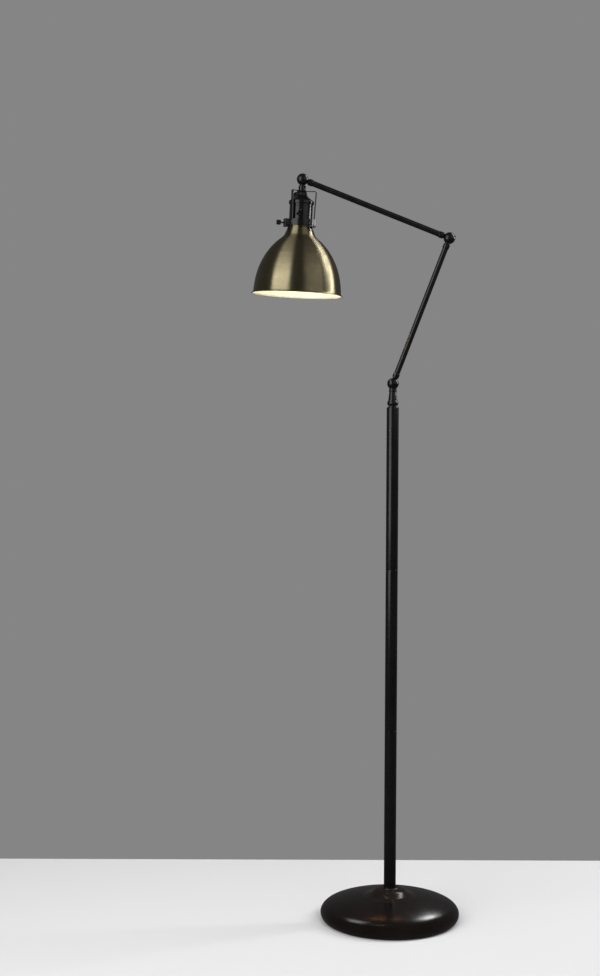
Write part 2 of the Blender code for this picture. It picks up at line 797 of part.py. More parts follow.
def build_thumbscrew():
    tip, knob_start, knob_end, knob_r = 25.9, 42.6, 51.0, 5.2
    outline = [
        (0, knob_end),
        (knob_r - 0.8, knob_end),
        (knob_r, knob_end - 0.8),
        (knob_r, knob_start + 0.8),
        (knob_r - 0.8, knob_start),
        (THUMBSCREW_R + 0.9, knob_start),
        (THUMBSCREW_R, knob_start - 1.4),
        (THUMBSCREW_R, tip),
        (0, tip),
    ]
    screw = turned("thumbscrew", outline, 14)
    place(screw, thumbscrew_axis, BRONZE, (0, 0, 0), (0, 90, THUMBSCREW_AZIMUTH))


# ---------------------------------------------------------------- socket


def build_socket():
    dome = [
        (SHANK_R + 0.4, -26.2),
        (9.8, -26.2),
        (10.9, -28.6),
        (11.6, -32.6),
        (13.6, -36.2),
        (18.6, -40.0),
        (23.4, -43.8),
        (26.2, -45.0),
        (26.2, -51.6),
    ]
    cap = turned("socket_cap", sheet(dome, CAP_SHEET), 24)
    place(cap, head, BRONZE)
    nut = cylinder("cap_lock_nut", 8.0, -35.4, -30.8, 6)
    cut(nut, cylinder("cap_nut_bore", SHANK_R + GAP, -40.0, -25.0, 16), nut)
    place(nut, head, STEEL)

    shell = turned(
        "socket_shell", sleeve(SHELL_R - 0.8, SHELL_R, -SHELL_FOOT, -SHELL_TOP), 24
    )
    key_hole = cylinder("key_hole", 4.3, 15.0, 40.0, 16)
    cut(shell, key_hole, shell, (0, 0, -SWITCH_DEPTH), (90, 0, KEY_AZIMUTH))
    place(shell, head, BRONZE)
    liner_r = SHELL_R - 1.2
    liner = turned(
        "socket_liner", sleeve(liner_r - 0.6, liner_r, -SHELL_FOOT + 1.0, -50.0), 16
    )
    liner_hole = cylinder("liner_hole", 4.3, 15.0, 40.0, 16)
    cut(liner, liner_hole, liner, (0, 0, -SWITCH_DEPTH), (90, 0, KEY_AZIMUTH))
    place(liner, head, LINER)

    block_r = liner_r - 0.9
    switch_block = turned(
        "switch_block", [(0, -50.4), (block_r, -50.4), (block_r, -73.9), (0, -73.9)], 16
    )
    shaft_hole = cylinder("shaft_hole", KEY_SHAFT_R + GAP, 12.0, 40.0, 16)
    cut(switch_block, shaft_hole, switch_block, (0, 0, -SWITCH_DEPTH), (90, 0, KEY_AZIMUTH))
    place(switch_block, head, PHENOLIC)

    screw_shell = turned("screw_shell", sleeve(13.4, 14.0, -93.0, -74.2), 16)
    place(screw_shell, head, PLAIN_BRASS)
    contact = turned(
        "centre_contact", [(0, -74.2), (4.0, -74.2), (2.5, -75.7), (0, -75.7)], 10
    )
    place(contact, head, PLAIN_BRASS)


def build_switch_key():
    """The turn key: a shaft into the switch, a round boss and an oval paddle."""
    shaft_start, boss_start, boss_end, key_end = 13.0, 24.5, 27.9, 39.3
    key = turned(
        "switch_key",
        [
            (0, boss_end + 1.5),
            (3.6, boss_end),
            (3.6, boss_start),
            (KEY_SHAFT_R, boss_start),
            (KEY_SHAFT_R, shaft_start),
            (0, shaft_start),
        ],
        14,
    )
    length, thickness = 15.0, 4.2
    middle = (boss_end + key_end) / 2
    outline = arc((0, 0), ((key_end - boss_end) / 2, length / 2), 0, 340, 17)
    paddle = plate("switch_paddle", outline, thickness)
    join(key, paddle, key, (0, 0, middle), (0, 90, 0))
    place(key, switch_axis, BRONZE, (0, 0, 0), (90, KEY_TURN, KEY_AZIMUTH))


# ---------------------------------------------------------------- shade and bulb


def shade_profile():
    """The bell's outer face from the neck down to the rim."""
    waist = (32.0, 116.0)
    neck = [(SHADE_NECK_R, 85.0), (SHADE_NECK_R, 97.5), (29.0, 107.5)]
    shoulder = [waist, (37.2, 121.0), (51.9, 134.4), (64.8, 149.2)]
    skirt = [(76.8, 170.0), (86.2, 197.5)]
    rim = [(91.0, 224.0), (92.6, 236.6), (SHADE_RIM_R, SHADE_RIM)]
    return [(r, -depth) for r, depth in neck + shoulder + skirt + rim]


def build_shade():
    shade = turned("shade", sheet(shade_profile(), SHADE_SHEET), 40)
    place(shade, head, BRASS)


def build_bulb():
    cap_r = 13.0
    cap = turned(
        "bulb_cap",
        [
            (0, -BULB_CAP_TOP),
            (4.0, -BULB_CAP_TOP),
            (cap_r, -BULB_CAP_TOP - 4.0),
            (cap_r, 0.4 - BULB_GLASS_TOP),
            (0, 0.4 - BULB_GLASS_TOP),
        ],
        16,
    )
    place(cap, head, STEEL)
    bowl = arc((0, -BULB_CENTRE), (BULB_R, BULB_R), 24, -72, 4)
    outer = [(13.2, -BULB_GLASS_TOP), (14.0, -106.0), (21.0, -127.0)] + bowl
    inner = offset_outline(outer, 1.0)
    outer.append((0, -BULB_CENTRE - BULB_R))
    inner.append((0, -BULB_CENTRE - BULB_R + 1.0))
    mesh_outline = inner[::-1] + outer
    glass = turned("bulb_glass", mesh_outline, 16)
    place(glass, head, GLASS)


build_base()
build_hub()
build_pole()
build_inner_cord()
build_post()
build_arms()
build_stem()
build_strap_holder()
build_fitter_ring()
build_thumbscrew()
build_socket()
build_switch_key()
build_shade()
build_bulb()
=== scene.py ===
"""Looks of the adjustable arm floor lamp.

Every moving body has a frame of its own, found from the joints: the swivel post, each arm and the
head are modelled upright about that frame's Z axis, in millimetres, and then put in place. The
head's outlines use depths below its pivot, because its pieces hang from it.
"""

import json
import math

import bmesh
import bpy
from mathutils import Matrix, Vector

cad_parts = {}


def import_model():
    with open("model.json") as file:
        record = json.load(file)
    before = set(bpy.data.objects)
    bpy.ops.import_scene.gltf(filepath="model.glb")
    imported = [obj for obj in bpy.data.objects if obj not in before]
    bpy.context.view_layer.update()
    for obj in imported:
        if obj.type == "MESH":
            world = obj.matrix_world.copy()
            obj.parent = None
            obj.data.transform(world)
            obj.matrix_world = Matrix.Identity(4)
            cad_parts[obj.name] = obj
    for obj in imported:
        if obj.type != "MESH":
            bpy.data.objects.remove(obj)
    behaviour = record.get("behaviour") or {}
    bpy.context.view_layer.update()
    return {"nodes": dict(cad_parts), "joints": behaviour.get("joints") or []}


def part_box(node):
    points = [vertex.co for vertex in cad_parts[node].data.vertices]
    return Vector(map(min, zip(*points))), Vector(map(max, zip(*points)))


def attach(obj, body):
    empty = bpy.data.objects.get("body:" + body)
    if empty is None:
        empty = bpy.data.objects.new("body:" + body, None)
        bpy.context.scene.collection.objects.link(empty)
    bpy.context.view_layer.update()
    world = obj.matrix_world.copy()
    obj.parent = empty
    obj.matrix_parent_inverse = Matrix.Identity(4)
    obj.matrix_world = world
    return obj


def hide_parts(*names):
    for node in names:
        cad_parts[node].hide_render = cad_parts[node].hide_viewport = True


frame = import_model()

MM = 0.001
JOINTS = {joint["name"]: joint for joint in frame["joints"]}


def pivot(name):
    return Vector(JOINTS[name]["pos_m"])


def frame_along(origin, direction):
    """A matrix at an origin whose Z axis has a direction in the XZ plane, and whose Y is the row's."""
    z_axis = direction.normalized()
    y_axis = Vector((0, 1, 0))
    x_axis = y_axis.cross(z_axis)
    turned = Matrix((x_axis, y_axis, z_axis)).transposed()
    return Matrix.Translation(origin) @ turned.to_4x4()


LOWER_PIVOT = pivot("lower_arm_tilt")
ELBOW_PIVOT = pivot("elbow_tilt")
HEAD_PIVOT = pivot("head_tilt")
POST_FOOT = pivot("post_swivel")
FRAMES = {
    "stand": Matrix.Identity(4),
    "swivel": Matrix.Translation(POST_FOOT),
    "lower_arm": frame_along(LOWER_PIVOT, ELBOW_PIVOT - LOWER_PIVOT),
    "upper_arm": frame_along(ELBOW_PIVOT, HEAD_PIVOT - ELBOW_PIVOT),
    "head": frame_along(HEAD_PIVOT, HEAD_PIVOT - pivot("switch_turn")),
}
FRAMES["turn_key"] = FRAMES["head"]
FRAMES["shade_screw"] = FRAMES["head"]

# Lengths between pivots, in millimetres
POST_HEIGHT = (LOWER_PIVOT - POST_FOOT).length / MM
LOWER_ARM_LENGTH = (ELBOW_PIVOT - LOWER_PIVOT).length / MM
UPPER_ARM_LENGTH = (HEAD_PIVOT - ELBOW_PIVOT).length / MM
SWITCH_DEPTH = (HEAD_PIVOT - pivot("switch_turn")).length / MM
LUG_SCREW_DEPTH = (HEAD_PIVOT - pivot("shade_screw_turn")).length / MM

# Knuckles
BALL_R = 12.43
SLOT_FRONT = -2.5
SLOT_BACK = 3.6
SLOT_SWING = 118.0
PIVOT_HOLE_R = 2.8
HEAD_RECESS_R = 4.6
HEAD_RECESS_Y = 8.2
EYE_R = 6.8
TANG_HALF_WIDTH = 4.75
TANG_THICKNESS = 4.4
SHANK_R = 4.3
SHANK_END = 32.0
FERRULE_START = 13.2
FERRULE_END = 23.4
TUBE_START = 15.6
ARM_R = 5.95
ARM_BORE_R = 4.9

# Head
STRAP_TOP = 24.0
STRAP_THICKNESS = 1.4
STRAP_WIDTH = 6.0
STRAP_OUT_TOP = 31.15
STRAP_OUT_FOOT = 28.8
STRAP_FOOT = 95.0
STRAP_AZIMUTHS = {"right": -13.0, "front": -129.0, "back": 118.0}
RIVET_DEPTH = 90.0
RING_R = 27.0
RING_BORE_R = 26.0
CHANNEL_R = 29.3
CHANNEL_FLOOR = 95.6
BAND_R = 30.2
THUMBSCREW_R = 1.7
THUMBSCREW_CLEARANCE = 0.3
RING_TOP = 84.1
RING_FOOT = 97.0
CLAMP_AZIMUTH = -38.0
THUMBSCREW_AZIMUTH = -165.0
LUG_OUT = 35.1
LUG_HALF_WIDTH = 8.0
LUG_TOP = 83.3
LUG_FOOT = 99.7
CLAMP_SCREW_OUT = 31.0
KEY_TURN = 32.0
KEY_AZIMUTH = -7.0
SHADE_RIM = 239.0


# ---------------------------------------------------------------- outlines


def rounded(corners, steps=5):
    """An open or closed outline from (x, y, fillet radius) corners, each fillet an arc.
    The first and last corners are kept as they are."""
    outline = []
    last = len(corners) - 1
    for index, (x, y, radius) in enumerate(corners):
        corner = Vector((x, y))
        if radius == 0 or index in (0, last):
            outline.append((x, y))
            continue
        before = Vector(corners[index - 1][:2]) - corner
        after = Vector(corners[index + 1][:2]) - corner
        half = before.angle(after) / 2
        reach = min(radius / math.tan(half), before.length * 0.49, after.length * 0.49)
        start = corner + before.normalized() * reach
        end = corner + after.normalized() * reach
        for step in range(steps + 1):
            t = step / steps
            point = start * (1 - t) ** 2 + corner * 2 * t * (1 - t) + end * t**2
            outline.append((point.x, point.y))
    return outline


def arc(centre, radii, start, end, count):
    """Points on an ellipse from one angle to another, in degrees."""
    points = []
    for step in range(count + 1):
        angle = math.radians(start + (end - start) * step / count)
        points.append((centre[0] + radii[0] * math.cos(angle), centre[1] + radii[1] * math.sin(angle)))
    return points


def smooth(points, count):
    """A Catmull-Rom curve through points, with count steps between neighbours."""
    knots = [Vector(point) for point in points]
    knots = [knots[0] * 2 - knots[1]] + knots + [knots[-1] * 2 - knots[-2]]
    curve = []
    for index in range(1, len(knots) - 2):
        p0, p1, p2, p3 = knots[index - 1 : index + 3]
        for step in range(count):
            t = step / count
            point = p1 + (p2 - p0) * (t / 2) + (p0 * 2 - p1 * 5 + p2 * 4 - p3) * (t * t / 2)
            point += (p1 * 3 - p0 - p2 * 3 + p3) * (t**3 / 2)
            curve.append((point.x, point.y))
    curve.append(tuple(knots[-2]))
    return curve


def blend_curve(start, start_slope, end, end_slope, count):
    """A cubic from start to end whose handles lie along the slopes, so it never bends back."""
    across = end[0] - start[0]
    run = (end[1] - start[1] - end_slope * across) / (start_slope - end_slope)
    corner = Vector(start) + Vector((run, run * start_slope))
    pull = 0.6
    handles = [Vector(start), Vector(start).lerp(corner, pull), Vector(end).lerp(corner, pull), Vector(end)]
    curve = []
    for step in range(count + 1):
        t = step / count
        weights = ((1 - t) ** 3, 3 * t * (1 - t) ** 2, 3 * t * t * (1 - t), t**3)
        point = sum((handle * weight for handle, weight in zip(handles, weights)), Vector((0, 0)))
        curve.append((point.x, point.y))
    return curve


def inset(points, distance):
    """An open outline that runs from top to bottom, moved inwards by a distance."""
    moved = []
    for index, point in enumerate(points):
        before = points[max(index - 1, 0)]
        after = points[min(index + 1, len(points) - 1)]
        along = Vector((after[0] - before[0], after[1] - before[1])).normalized()
        moved.append((point[0] + along.y * distance, point[1] - along.x * distance))
    return moved


def polar(azimuth, radius, height=0.0):
    angle = math.radians(azimuth)
    return Vector((radius * math.cos(angle), radius * math.sin(angle), height))


def turn(axis, degrees):
    return Matrix.Rotation(math.radians(degrees), 4, axis)


def shift(x, y, z):
    return Matrix.Translation((x, y, z))


# ---------------------------------------------------------------- meshes, in millimetres


def new_object(name, mesh):
    obj = bpy.data.objects.new(name, mesh)
    bpy.context.scene.collection.objects.link(obj)
    return obj


def shape_object(name, shape):
    bmesh.ops.recalc_face_normals(shape, faces=shape.faces)
    mesh = bpy.data.meshes.new(name)
    shape.to_mesh(mesh)
    shape.free()
    return new_object(name, mesh)


def lathe(name, outline, segments=64, closed=True, ripple=None):
    """A solid turned about Z from (radius, height) points. An outline that starts and ends on
    the axis is solid, and a closed one is a ring. ripple(angle, radius, height) may change
    the radius round the piece."""
    shape = bmesh.new()
    rings = []
    for radius, height in outline:
        if radius < 1e-6:
            rings.append([shape.verts.new((0, 0, height))])
            continue
        ring = []
        for step in range(segments):
            angle = 2 * math.pi * step / segments
            at = ripple(angle, radius, height) if ripple else radius
            ring.append(shape.verts.new((at * math.cos(angle), at * math.sin(angle), height)))
        rings.append(ring)
    pairs = list(zip(rings, rings[1:]))
    on_axis = outline[0][0] < 1e-6 and outline[-1][0] < 1e-6
    if closed and not on_axis:
        pairs.append((rings[-1], rings[0]))
    for upper, lower in pairs:
        for step in range(segments):
            after = (step + 1) % segments
            corners = [upper[step % len(upper)], upper[after % len(upper)]]
            corners += [lower[after % len(lower)], lower[step % len(lower)]]
            face = list(dict.fromkeys(corners))
            if len(face) > 2:
                shape.faces.new(face)
    return shape_object(name, shape)


def evaluated(obj):
    """The object with its modifiers or curve settings made a plain mesh, in place."""
    bpy.context.view_layer.update()
    graph = bpy.context.evaluated_depsgraph_get()
    mesh = bpy.data.meshes.new_from_object(obj.evaluated_get(graph))
    name = obj.name
    matrix = obj.matrix_world.copy()
    bpy.data.objects.remove(obj, do_unlink=True)
    mesh.name = name
    made = new_object(name, mesh)
    made.matrix_world = matrix
    return made


def welded(obj, distance=0.0005):
    shape = bmesh.new()
    shape.from_mesh(obj.data)
    bmesh.ops.remove_doubles(shape, verts=shape.verts, dist=distance)
    bmesh.ops.dissolve_degenerate(shape, edges=shape.edges, dist=distance)
    bmesh.ops.recalc_face_normals(shape, faces=shape.faces)
    shape.to_mesh(obj.data)
    shape.free()
    return obj


def plate(name, outlines, thickness, edge=0.3):
    """A flat plate in XY, centred on Z = 0, with rounded edges. Later outlines are holes."""
    curve = bpy.data.curves.new(name, "CURVE")
    curve.dimensions = "2D"
    curve.fill_mode = "BOTH"
    curve.extrude = thickness / 2 - edge
    curve.bevel_depth = edge
    curve.bevel_resolution = 2
    curve.offset = -edge
    for outline in outlines:
        spline = curve.splines.new("POLY")
        spline.points.add(len(outline) - 1)
        for point, (x, y) in zip(spline.points, outline):
            point.co = (x, y, 0, 1)
        spline.use_cyclic_u = True
    return welded(evaluated(new_object(name, curve)))


def prism(name, outline, thickness):
    """A sharp-edged plate, for cutting."""
    shape = bmesh.new()
    low = [shape.verts.new((x, y, -thickness / 2)) for x, y in outline]
    high = [shape.verts.new((x, y, thickness / 2)) for x, y in outline]
    shape.faces.new(low)
    shape.faces.new(high)
    for index in range(len(outline)):
        after = (index + 1) % len(outline)
        shape.faces.new([low[index], low[after], high[after], high[index]])
    return shape_object(name, shape)


def box(name, low, high):
    outline = [(low[0], low[1]), (high[0], low[1]), (high[0], high[1]), (low[0], high[1])]
    made = prism(name, outline, high[2] - low[2])
    made.data.transform(shift(0, 0, (low[2] + high[2]) / 2))
    return made


def rod(name, radius, low, high, segments=32):
    return lathe(name, [(0, high), (radius, high), (radius, low), (0, low)], segments)


def moved(obj, *steps):
    """The mesh moved by these matrices, the last one first."""
    matrix = Matrix.Identity(4)
    for step in steps:
        matrix = matrix @ step
    obj.data.transform(matrix)
    return obj


def combined(obj, others, operation):
    """obj joined with, cut by or kept inside other solids, which are used up."""
    for other in others:
        modifier = obj.modifiers.new(other.name, "BOOLEAN")
        modifier.operation = operation
        modifier.solver = "EXACT"
        modifier.object = other
    made = evaluated(obj)
    for other in others:
        bpy.data.objects.remove(other, do_unlink=True)
    return welded(made)


def cut(obj, *others):
    return combined(obj, others, "DIFFERENCE")


def joined(obj, *others):
    return combined(obj, others, "UNION")


def grouped(obj, *others):
    """Separate solids kept in one object."""
    shape = bmesh.new()
    for item in (obj, *others):
        shape.from_mesh(item.data)
    shape.to_mesh(obj.data)
    shape.free()
    for other in others:
        bpy.data.objects.remove(other, do_unlink=True)
    return obj


def place(obj, body, material, nodes=(), crease=35.0):
    """Puts a finished piece on its body, with its finish, in place of its CAD nodes."""
    obj.data.transform(Matrix.Scale(MM, 4))
    obj.data.materials.clear()
    for one in material if isinstance(material, list) else [material]:
        obj.data.materials.append(one)
    for polygon in obj.data.polygons:
        polygon.use_smooth = True
    obj.data.set_sharp_from_angle(angle=math.radians(crease))
    obj.matrix_world = FRAMES[body]
    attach(obj, body)
    if nodes:
        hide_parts(*nodes)
    return obj


# ---------------------------------------------------------------- materials


class Shading:
    """A material's node tree, with short ways to add to it."""

    def __init__(self, name):
        self.material = bpy.data.materials.new(name)
        self.material.use_nodes = True
        self.tree = self.material.node_tree
        self.shader = self.tree.nodes["Principled BSDF"]
        self.place = self.node("ShaderNodeTexCoord").outputs["Object"]

    def node(self, kind, **settings):
        made = self.tree.nodes.new(kind)
        for key, value in settings.items():
            setattr(made, key, value)
        return made

    def link(self, source, target):
        self.tree.links.new(source, target)

    def set(self, **values):
        for key, value in values.items():
            self.shader.inputs[key.replace("_", " ")].default_value = value

    def stretched(self, x, y, z):
        mapping = self.node("ShaderNodeMapping")
        mapping.inputs["Scale"].default_value = (x, y, z)
        self.link(self.place, mapping.inputs["Vector"])
        return mapping.outputs["Vector"]

    def noise(self, scale, detail=3.0, roughness=0.5, where=None, distortion=0.0):
        texture = self.node("ShaderNodeTexNoise")
        texture.inputs["Scale"].default_value = scale
        texture.inputs["Detail"].default_value = detail
        texture.inputs["Roughness"].default_value = roughness
        texture.inputs["Distortion"].default_value = distortion
        self.link(where or self.place, texture.inputs["Vector"])
        return texture.outputs["Fac"]

    def spread(self, value, low, high, to_low=0.0, to_high=1.0):
        """A value's range low to high stretched over another range, and held at its ends."""
        node = self.node("ShaderNodeMapRange")
        node.inputs["From Min"].default_value = low
        node.inputs["From Max"].default_value = high
        node.inputs["To Min"].default_value = to_low
        node.inputs["To Max"].default_value = to_high
        self.link(value, node.inputs["Value"])
        return node.outputs["Result"]

    def times(self, first, second):
        node = self.node("ShaderNodeMath", operation="MULTIPLY")
        self.link(first, node.inputs[0])
        if isinstance(second, (int, float)):
            node.inputs[1].default_value = second
        else:
            self.link(second, node.inputs[1])
        return node.outputs[0]

    def blend(self, factor, first, second):
        """A colour between two, each an RGB tuple or a socket."""
        node = self.node("ShaderNodeMix", data_type="RGBA")
        self.link(factor, node.inputs["Factor"])
        for socket, colour in ((node.inputs[6], first), (node.inputs[7], second)):
            if isinstance(colour, tuple):
                socket.default_value = (*colour, 1.0)
            else:
                self.link(colour, socket)
        return node.outputs[2]

    def worn_edges(self, low=0.52, high=0.62):
        """High on convex edges."""
        geometry = self.node("ShaderNodeNewGeometry")
        return self.spread(geometry.outputs["Pointiness"], low, high)

    def colour(self, socket):
        self.link(socket, self.shader.inputs["Base Color"])

    def rough(self, socket):
        self.link(socket, self.shader.inputs["Roughness"])

    def bump(self, height, distance, strength=1.0):
        node = self.node("ShaderNodeBump")
        node.inputs["Strength"].default_value = strength
        node.inputs["Distance"].default_value = distance
        self.link(height, node.inputs["Height"])
        self.link(node.outputs["Normal"], self.shader.inputs["Normal"])


def black_bronze(name, dark, light, warm, roughness):
    """Satin near-black paint over metal, faintly bronze, brighter where hands have rubbed it."""
    made = Shading(name)
    clouds = made.spread(made.noise(14.0, 5.0, 0.6), 0.35, 0.7)
    body = made.blend(clouds, dark, light)
    rubbed = made.times(made.worn_edges(), made.spread(made.noise(60.0, 4.0, 0.7), 0.4, 0.75))
    made.colour(made.blend(made.times(rubbed, 0.3), body, warm))
    smears = made.noise(38.0, 4.0, 0.65, made.stretched(1.0, 1.0, 0.4))
    made.rough(made.spread(smears, 0.3, 0.75, roughness - 0.03, roughness + 0.05))
    made.bump(made.noise(150.0, 2.0, 0.5), 0.000012, 0.1)
    made.set(Metallic=0.0, Specular_IOR_Level=0.3)
    return made.material


def aged_brass():
    """Spun brass with fine turning lines, an olive-brown patina and darker specks."""
    made = Shading("aged_brass")
    clouds = made.spread(made.noise(16.0, 6.0, 0.62), 0.32, 0.72)
    body = made.blend(clouds, (0.21, 0.182, 0.108), (0.285, 0.252, 0.158))
    rings = made.noise(60.0, 3.0, 0.6, made.stretched(0.35, 0.35, 18.0))
    body = made.blend(made.spread(rings, 0.3, 0.75, 0.0, 0.35), body, (0.14, 0.108, 0.06))
    specks = made.spread(made.noise(420.0, 3.0, 0.7), 0.64, 0.74, 0.0, 0.45)
    made.colour(made.blend(specks, body, (0.12, 0.085, 0.04)))
    made.rough(made.spread(clouds, 0.0, 1.0, 0.38, 0.30))
    made.bump(made.noise(90.0, 3.0, 0.6, made.stretched(0.3, 0.3, 22.0)), 0.00006, 0.12)
    round_axis = made.node("ShaderNodeTangent", direction_type="RADIAL", axis="Z")
    made.link(round_axis.outputs["Tangent"], made.shader.inputs["Tangent"])
    made.set(Metallic=1.0, Anisotropic=0.95, Anisotropic_Rotation=0.25)
    return made.material


def metal(name, base, deep, roughness, lines=0.0):
    """Plated or drawn metal, with handling marks and, if asked, fine turning lines."""
    made = Shading(name)
    made.colour(made.blend(made.spread(made.noise(120.0, 4.0, 0.6), 0.35, 0.7), base, deep))
    made.rough(made.spread(made.noise(300.0, 3.0, 0.6), 0.3, 0.7, roughness - 0.06, roughness + 0.08))
    if lines:
        made.bump(made.noise(160.0, 2.0, 0.5, made.stretched(0.3, 0.3, 14.0)), 0.00004, lines)
    made.set(Metallic=1.0)
    return made.material


def dull(name, base, deep, roughness, grain, depth):
    """Rubber, felt, fibre or cast surfaces: a mottled colour with a bump of its own grain."""
    made = Shading(name)
    made.colour(made.blend(made.spread(made.noise(grain / 3, 4.0, 0.6), 0.35, 0.7), base, deep))
    made.rough(made.spread(made.noise(grain, 3.0), 0.3, 0.7, roughness - 0.05, roughness + 0.05))
    made.bump(made.noise(grain, 4.0, 0.7), depth, 0.8)
    return made.material


def enamel():
    """The warm white paint inside the shade."""
    made = Shading("warm_white_enamel")
    made.colour(made.blend(made.noise(40.0, 4.0), (0.86, 0.83, 0.72), (0.90, 0.88, 0.79)))
    made.rough(made.spread(made.noise(120.0), 0.3, 0.7, 0.42, 0.52))
    made.bump(made.noise(700.0), 0.00003, 0.3)
    return made.material


def lit_glass():
    """A frosted bulb that is switched on."""
    made = Shading("lit_frosted_glass")
    glow = made.blend(made.noise(35.0), (1.0, 0.80, 0.52), (1.0, 0.86, 0.62))
    made.colour(glow)
    made.link(glow, made.shader.inputs["Emission Color"])
    made.set(Roughness=0.5, Emission_Strength=9.0)
    made.bump(made.noise(1200.0), 0.00002, 0.3)
    return made.material


PAINT = black_bronze(
    "black_bronze",
    dark=(0.0035, 0.0032, 0.0033),
    light=(0.0065, 0.0057, 0.0055),
    warm=(0.03, 0.022, 0.015),
    roughness=0.2,
)
# The same black paint, made lighter and warmer for the base and the hub. This is painted light: their
# colour stands in for the light that their upturned tops catch.
BASE_PAINT_WITH_PAINTED_LIGHT = black_bronze(
    "base_bronze_painted_light",
    dark=(0.0105, 0.0068, 0.0064),
    light=(0.018, 0.0114, 0.0104),
    warm=(0.03, 0.02, 0.013),
    roughness=0.2,
)
BRASS = aged_brass()
ENAMEL = enamel()
STEEL = metal("zinc_steel", (0.50, 0.50, 0.48), (0.36, 0.36, 0.35), 0.34, 0.3)
DARK_STEEL = metal("blackened_steel", (0.045, 0.042, 0.038), (0.075, 0.066, 0.056), 0.32, 0.2)
PLAIN_BRASS = metal("drawn_brass", (0.70, 0.53, 0.26), (0.55, 0.40, 0.18), 0.3, 0.3)
IRON = dull("cast_iron", (0.07, 0.07, 0.072), (0.11, 0.105, 0.10), 0.7, 500.0, 0.0003)
RUBBER = dull("black_rubber", (0.016, 0.016, 0.016), (0.028, 0.027, 0.026), 0.72, 800.0, 0.00006)
FELT = dull("black_felt", (0.02, 0.02, 0.022), (0.045, 0.045, 0.048), 0.95, 1500.0, 0.0004)
FIBRE = dull("fibre_liner", (0.30, 0.22, 0.13), (0.40, 0.30, 0.19), 0.85, 600.0, 0.0001)
PHENOLIC = dull("brown_phenolic", (0.035, 0.026, 0.021), (0.055, 0.042, 0.033), 0.42, 300.0, 0.00004)
JACKET = dull("cord_jacket", (0.014, 0.014, 0.014), (0.024, 0.023, 0.022), 0.5, 400.0, 0.00005)
GLASS = lit_glass()


# ---------------------------------------------------------------- stand

POLE_TOP = POST_FOOT.z / MM
POLE_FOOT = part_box("pole_lower")[0].z / MM - 0.15
SECTION = (POLE_TOP - POLE_FOOT) / 3
POLE_R = 12.7
DOME_TOP = 53.2
DOME_SPHERE_R = 465.0
EDGE_CENTRE = (117.0, 14.1)
EDGE_RADII = (29.45, 21.1)
GLAND_Z = 11.0


def dome_height(radius):
    return DOME_TOP - DOME_SPHERE_R + math.sqrt(DOME_SPHERE_R**2 - radius**2)


def base_cover():
    dome_steps, first, last = 14, 7.2, 90.0
    radii = [first + (last - first) * step / dome_steps for step in range(dome_steps)]
    outer = [(radius, dome_height(radius)) for radius in radii]
    edge = arc(EDGE_CENTRE, EDGE_RADII, 52.0, -38.0, 30)
    dome_slope = -last / math.sqrt(DOME_SPHERE_R**2 - last**2)
    edge_slope = (edge[1][1] - edge[0][1]) / (edge[1][0] - edge[0][0])
    outer += blend_curve((last, dome_height(last)), dome_slope, edge[0], edge_slope, 28) + edge[1:]
    outline = outer + inset(outer, 1.2)[::-1]
    cover = lathe("domed_base_cover", outline, 144)
    hole = moved(rod("gland_hole", 5.5, 130.0, 160.0), shift(0, 0, GLAND_Z), turn("X", -90))
    place(cut(cover, hole), "stand", BASE_PAINT_WITH_PAINTED_LIGHT, ["base_cover"])


def cord_gland():
    """A moulded grommet with two grooves round its flange's neck."""
    outline = rounded(
        [
            (2.9, 148.8, 0),
            (2.9, 148.8, 0),
            (6.4, 148.75, 0.5),
            (7.4, 148.0, 0.5),
            (7.4, 147.0, 0.2),
            (5.2, 147.0, 0.2),
            (5.2, 143.5, 0.1),
            (4.7, 143.2, 0.1),
            (4.7, 142.4, 0.1),
            (5.2, 142.1, 0.1),
            (5.2, 138.5, 0.6),
            (2.9, 138.5, 0),
        ]
    )
    gland = moved(lathe("cord_grommet", outline, 48), shift(0, 0, GLAND_Z), turn("X", -90))
    place(gland, "stand", RUBBER, ["cord_gland"])


def pole_hub():
    """The bell-shaped hub: a short collar, a round shoulder and a thin flared foot."""
    crown = [(19.2, 66.8), (25.0, 66.0), (31.0, 63.7), (36.0, 59.2)]
    flare = [(42.0, 54.6), (48.0, 52.1), (52.0, 50.95)]
    bell = smooth(crown + flare, 5)
    outline = rounded([(13.0, 68.3, 0), (13.3, 68.3, 0.3), (17.6, 68.3, 0.8), (18.6, 66.9, 0.5)])
    outline += bell
    outline += [(55.0, 50.22), (55.9, 50.0), (55.9, dome_height(55.9) + 0.06)]
    outline += [(52.0, dome_height(52.0) + 0.3), (7.0, dome_height(7.0) + 0.3), (7.0, 61.5), (13.0, 61.5)]
    place(lathe("bell_hub", outline, 128), "stand", BASE_PAINT_WITH_PAINTED_LIGHT, ["pole_hub"])


def pole_sections():
    """Three lengths of tube whose broken ends meet in a fine groove."""
    for number, node in enumerate(("pole_lower", "pole_middle", "pole_upper")):
        low = POLE_FOOT + number * SECTION + 0.12
        high = low + SECTION - 0.24
        outline = rounded(
            [
                (11.5, high, 0),
                (POLE_R - 0.5, high, 0.1),
                (POLE_R, high - 0.5, 0.2),
                (POLE_R, low + 0.5, 0.2),
                (POLE_R - 0.5, low, 0.1),
                (11.5, low, 0),
            ]
        )
        tube = lathe(node + "_tube", outline, 96)
        place(tube, "stand", PAINT, [node])


def pole_collar():
    outline = rounded(
        [
            (6.1, 2.7, 0),
            (9.3, 2.7, 0.5),
            (9.3, 0.3, 0.1),
            (11.2, 0.1, 0.2),
            (11.2, -24.0, 0.4),
            (6.1, -24.0, 0),
        ]
    )
    collar = moved(lathe("swivel_collar", outline, 64), shift(0, 0, POLE_TOP))
    place(collar, "stand", PAINT, ["pole_collar"])


def finish_nodes(material, *names):
    """Gives CAD nodes that are right as they are a material of the scene's own."""
    for name in names:
        node = frame["nodes"][name]
        node.data.materials.clear()
        node.data.materials.append(material)


# ---------------------------------------------------------------- knuckles


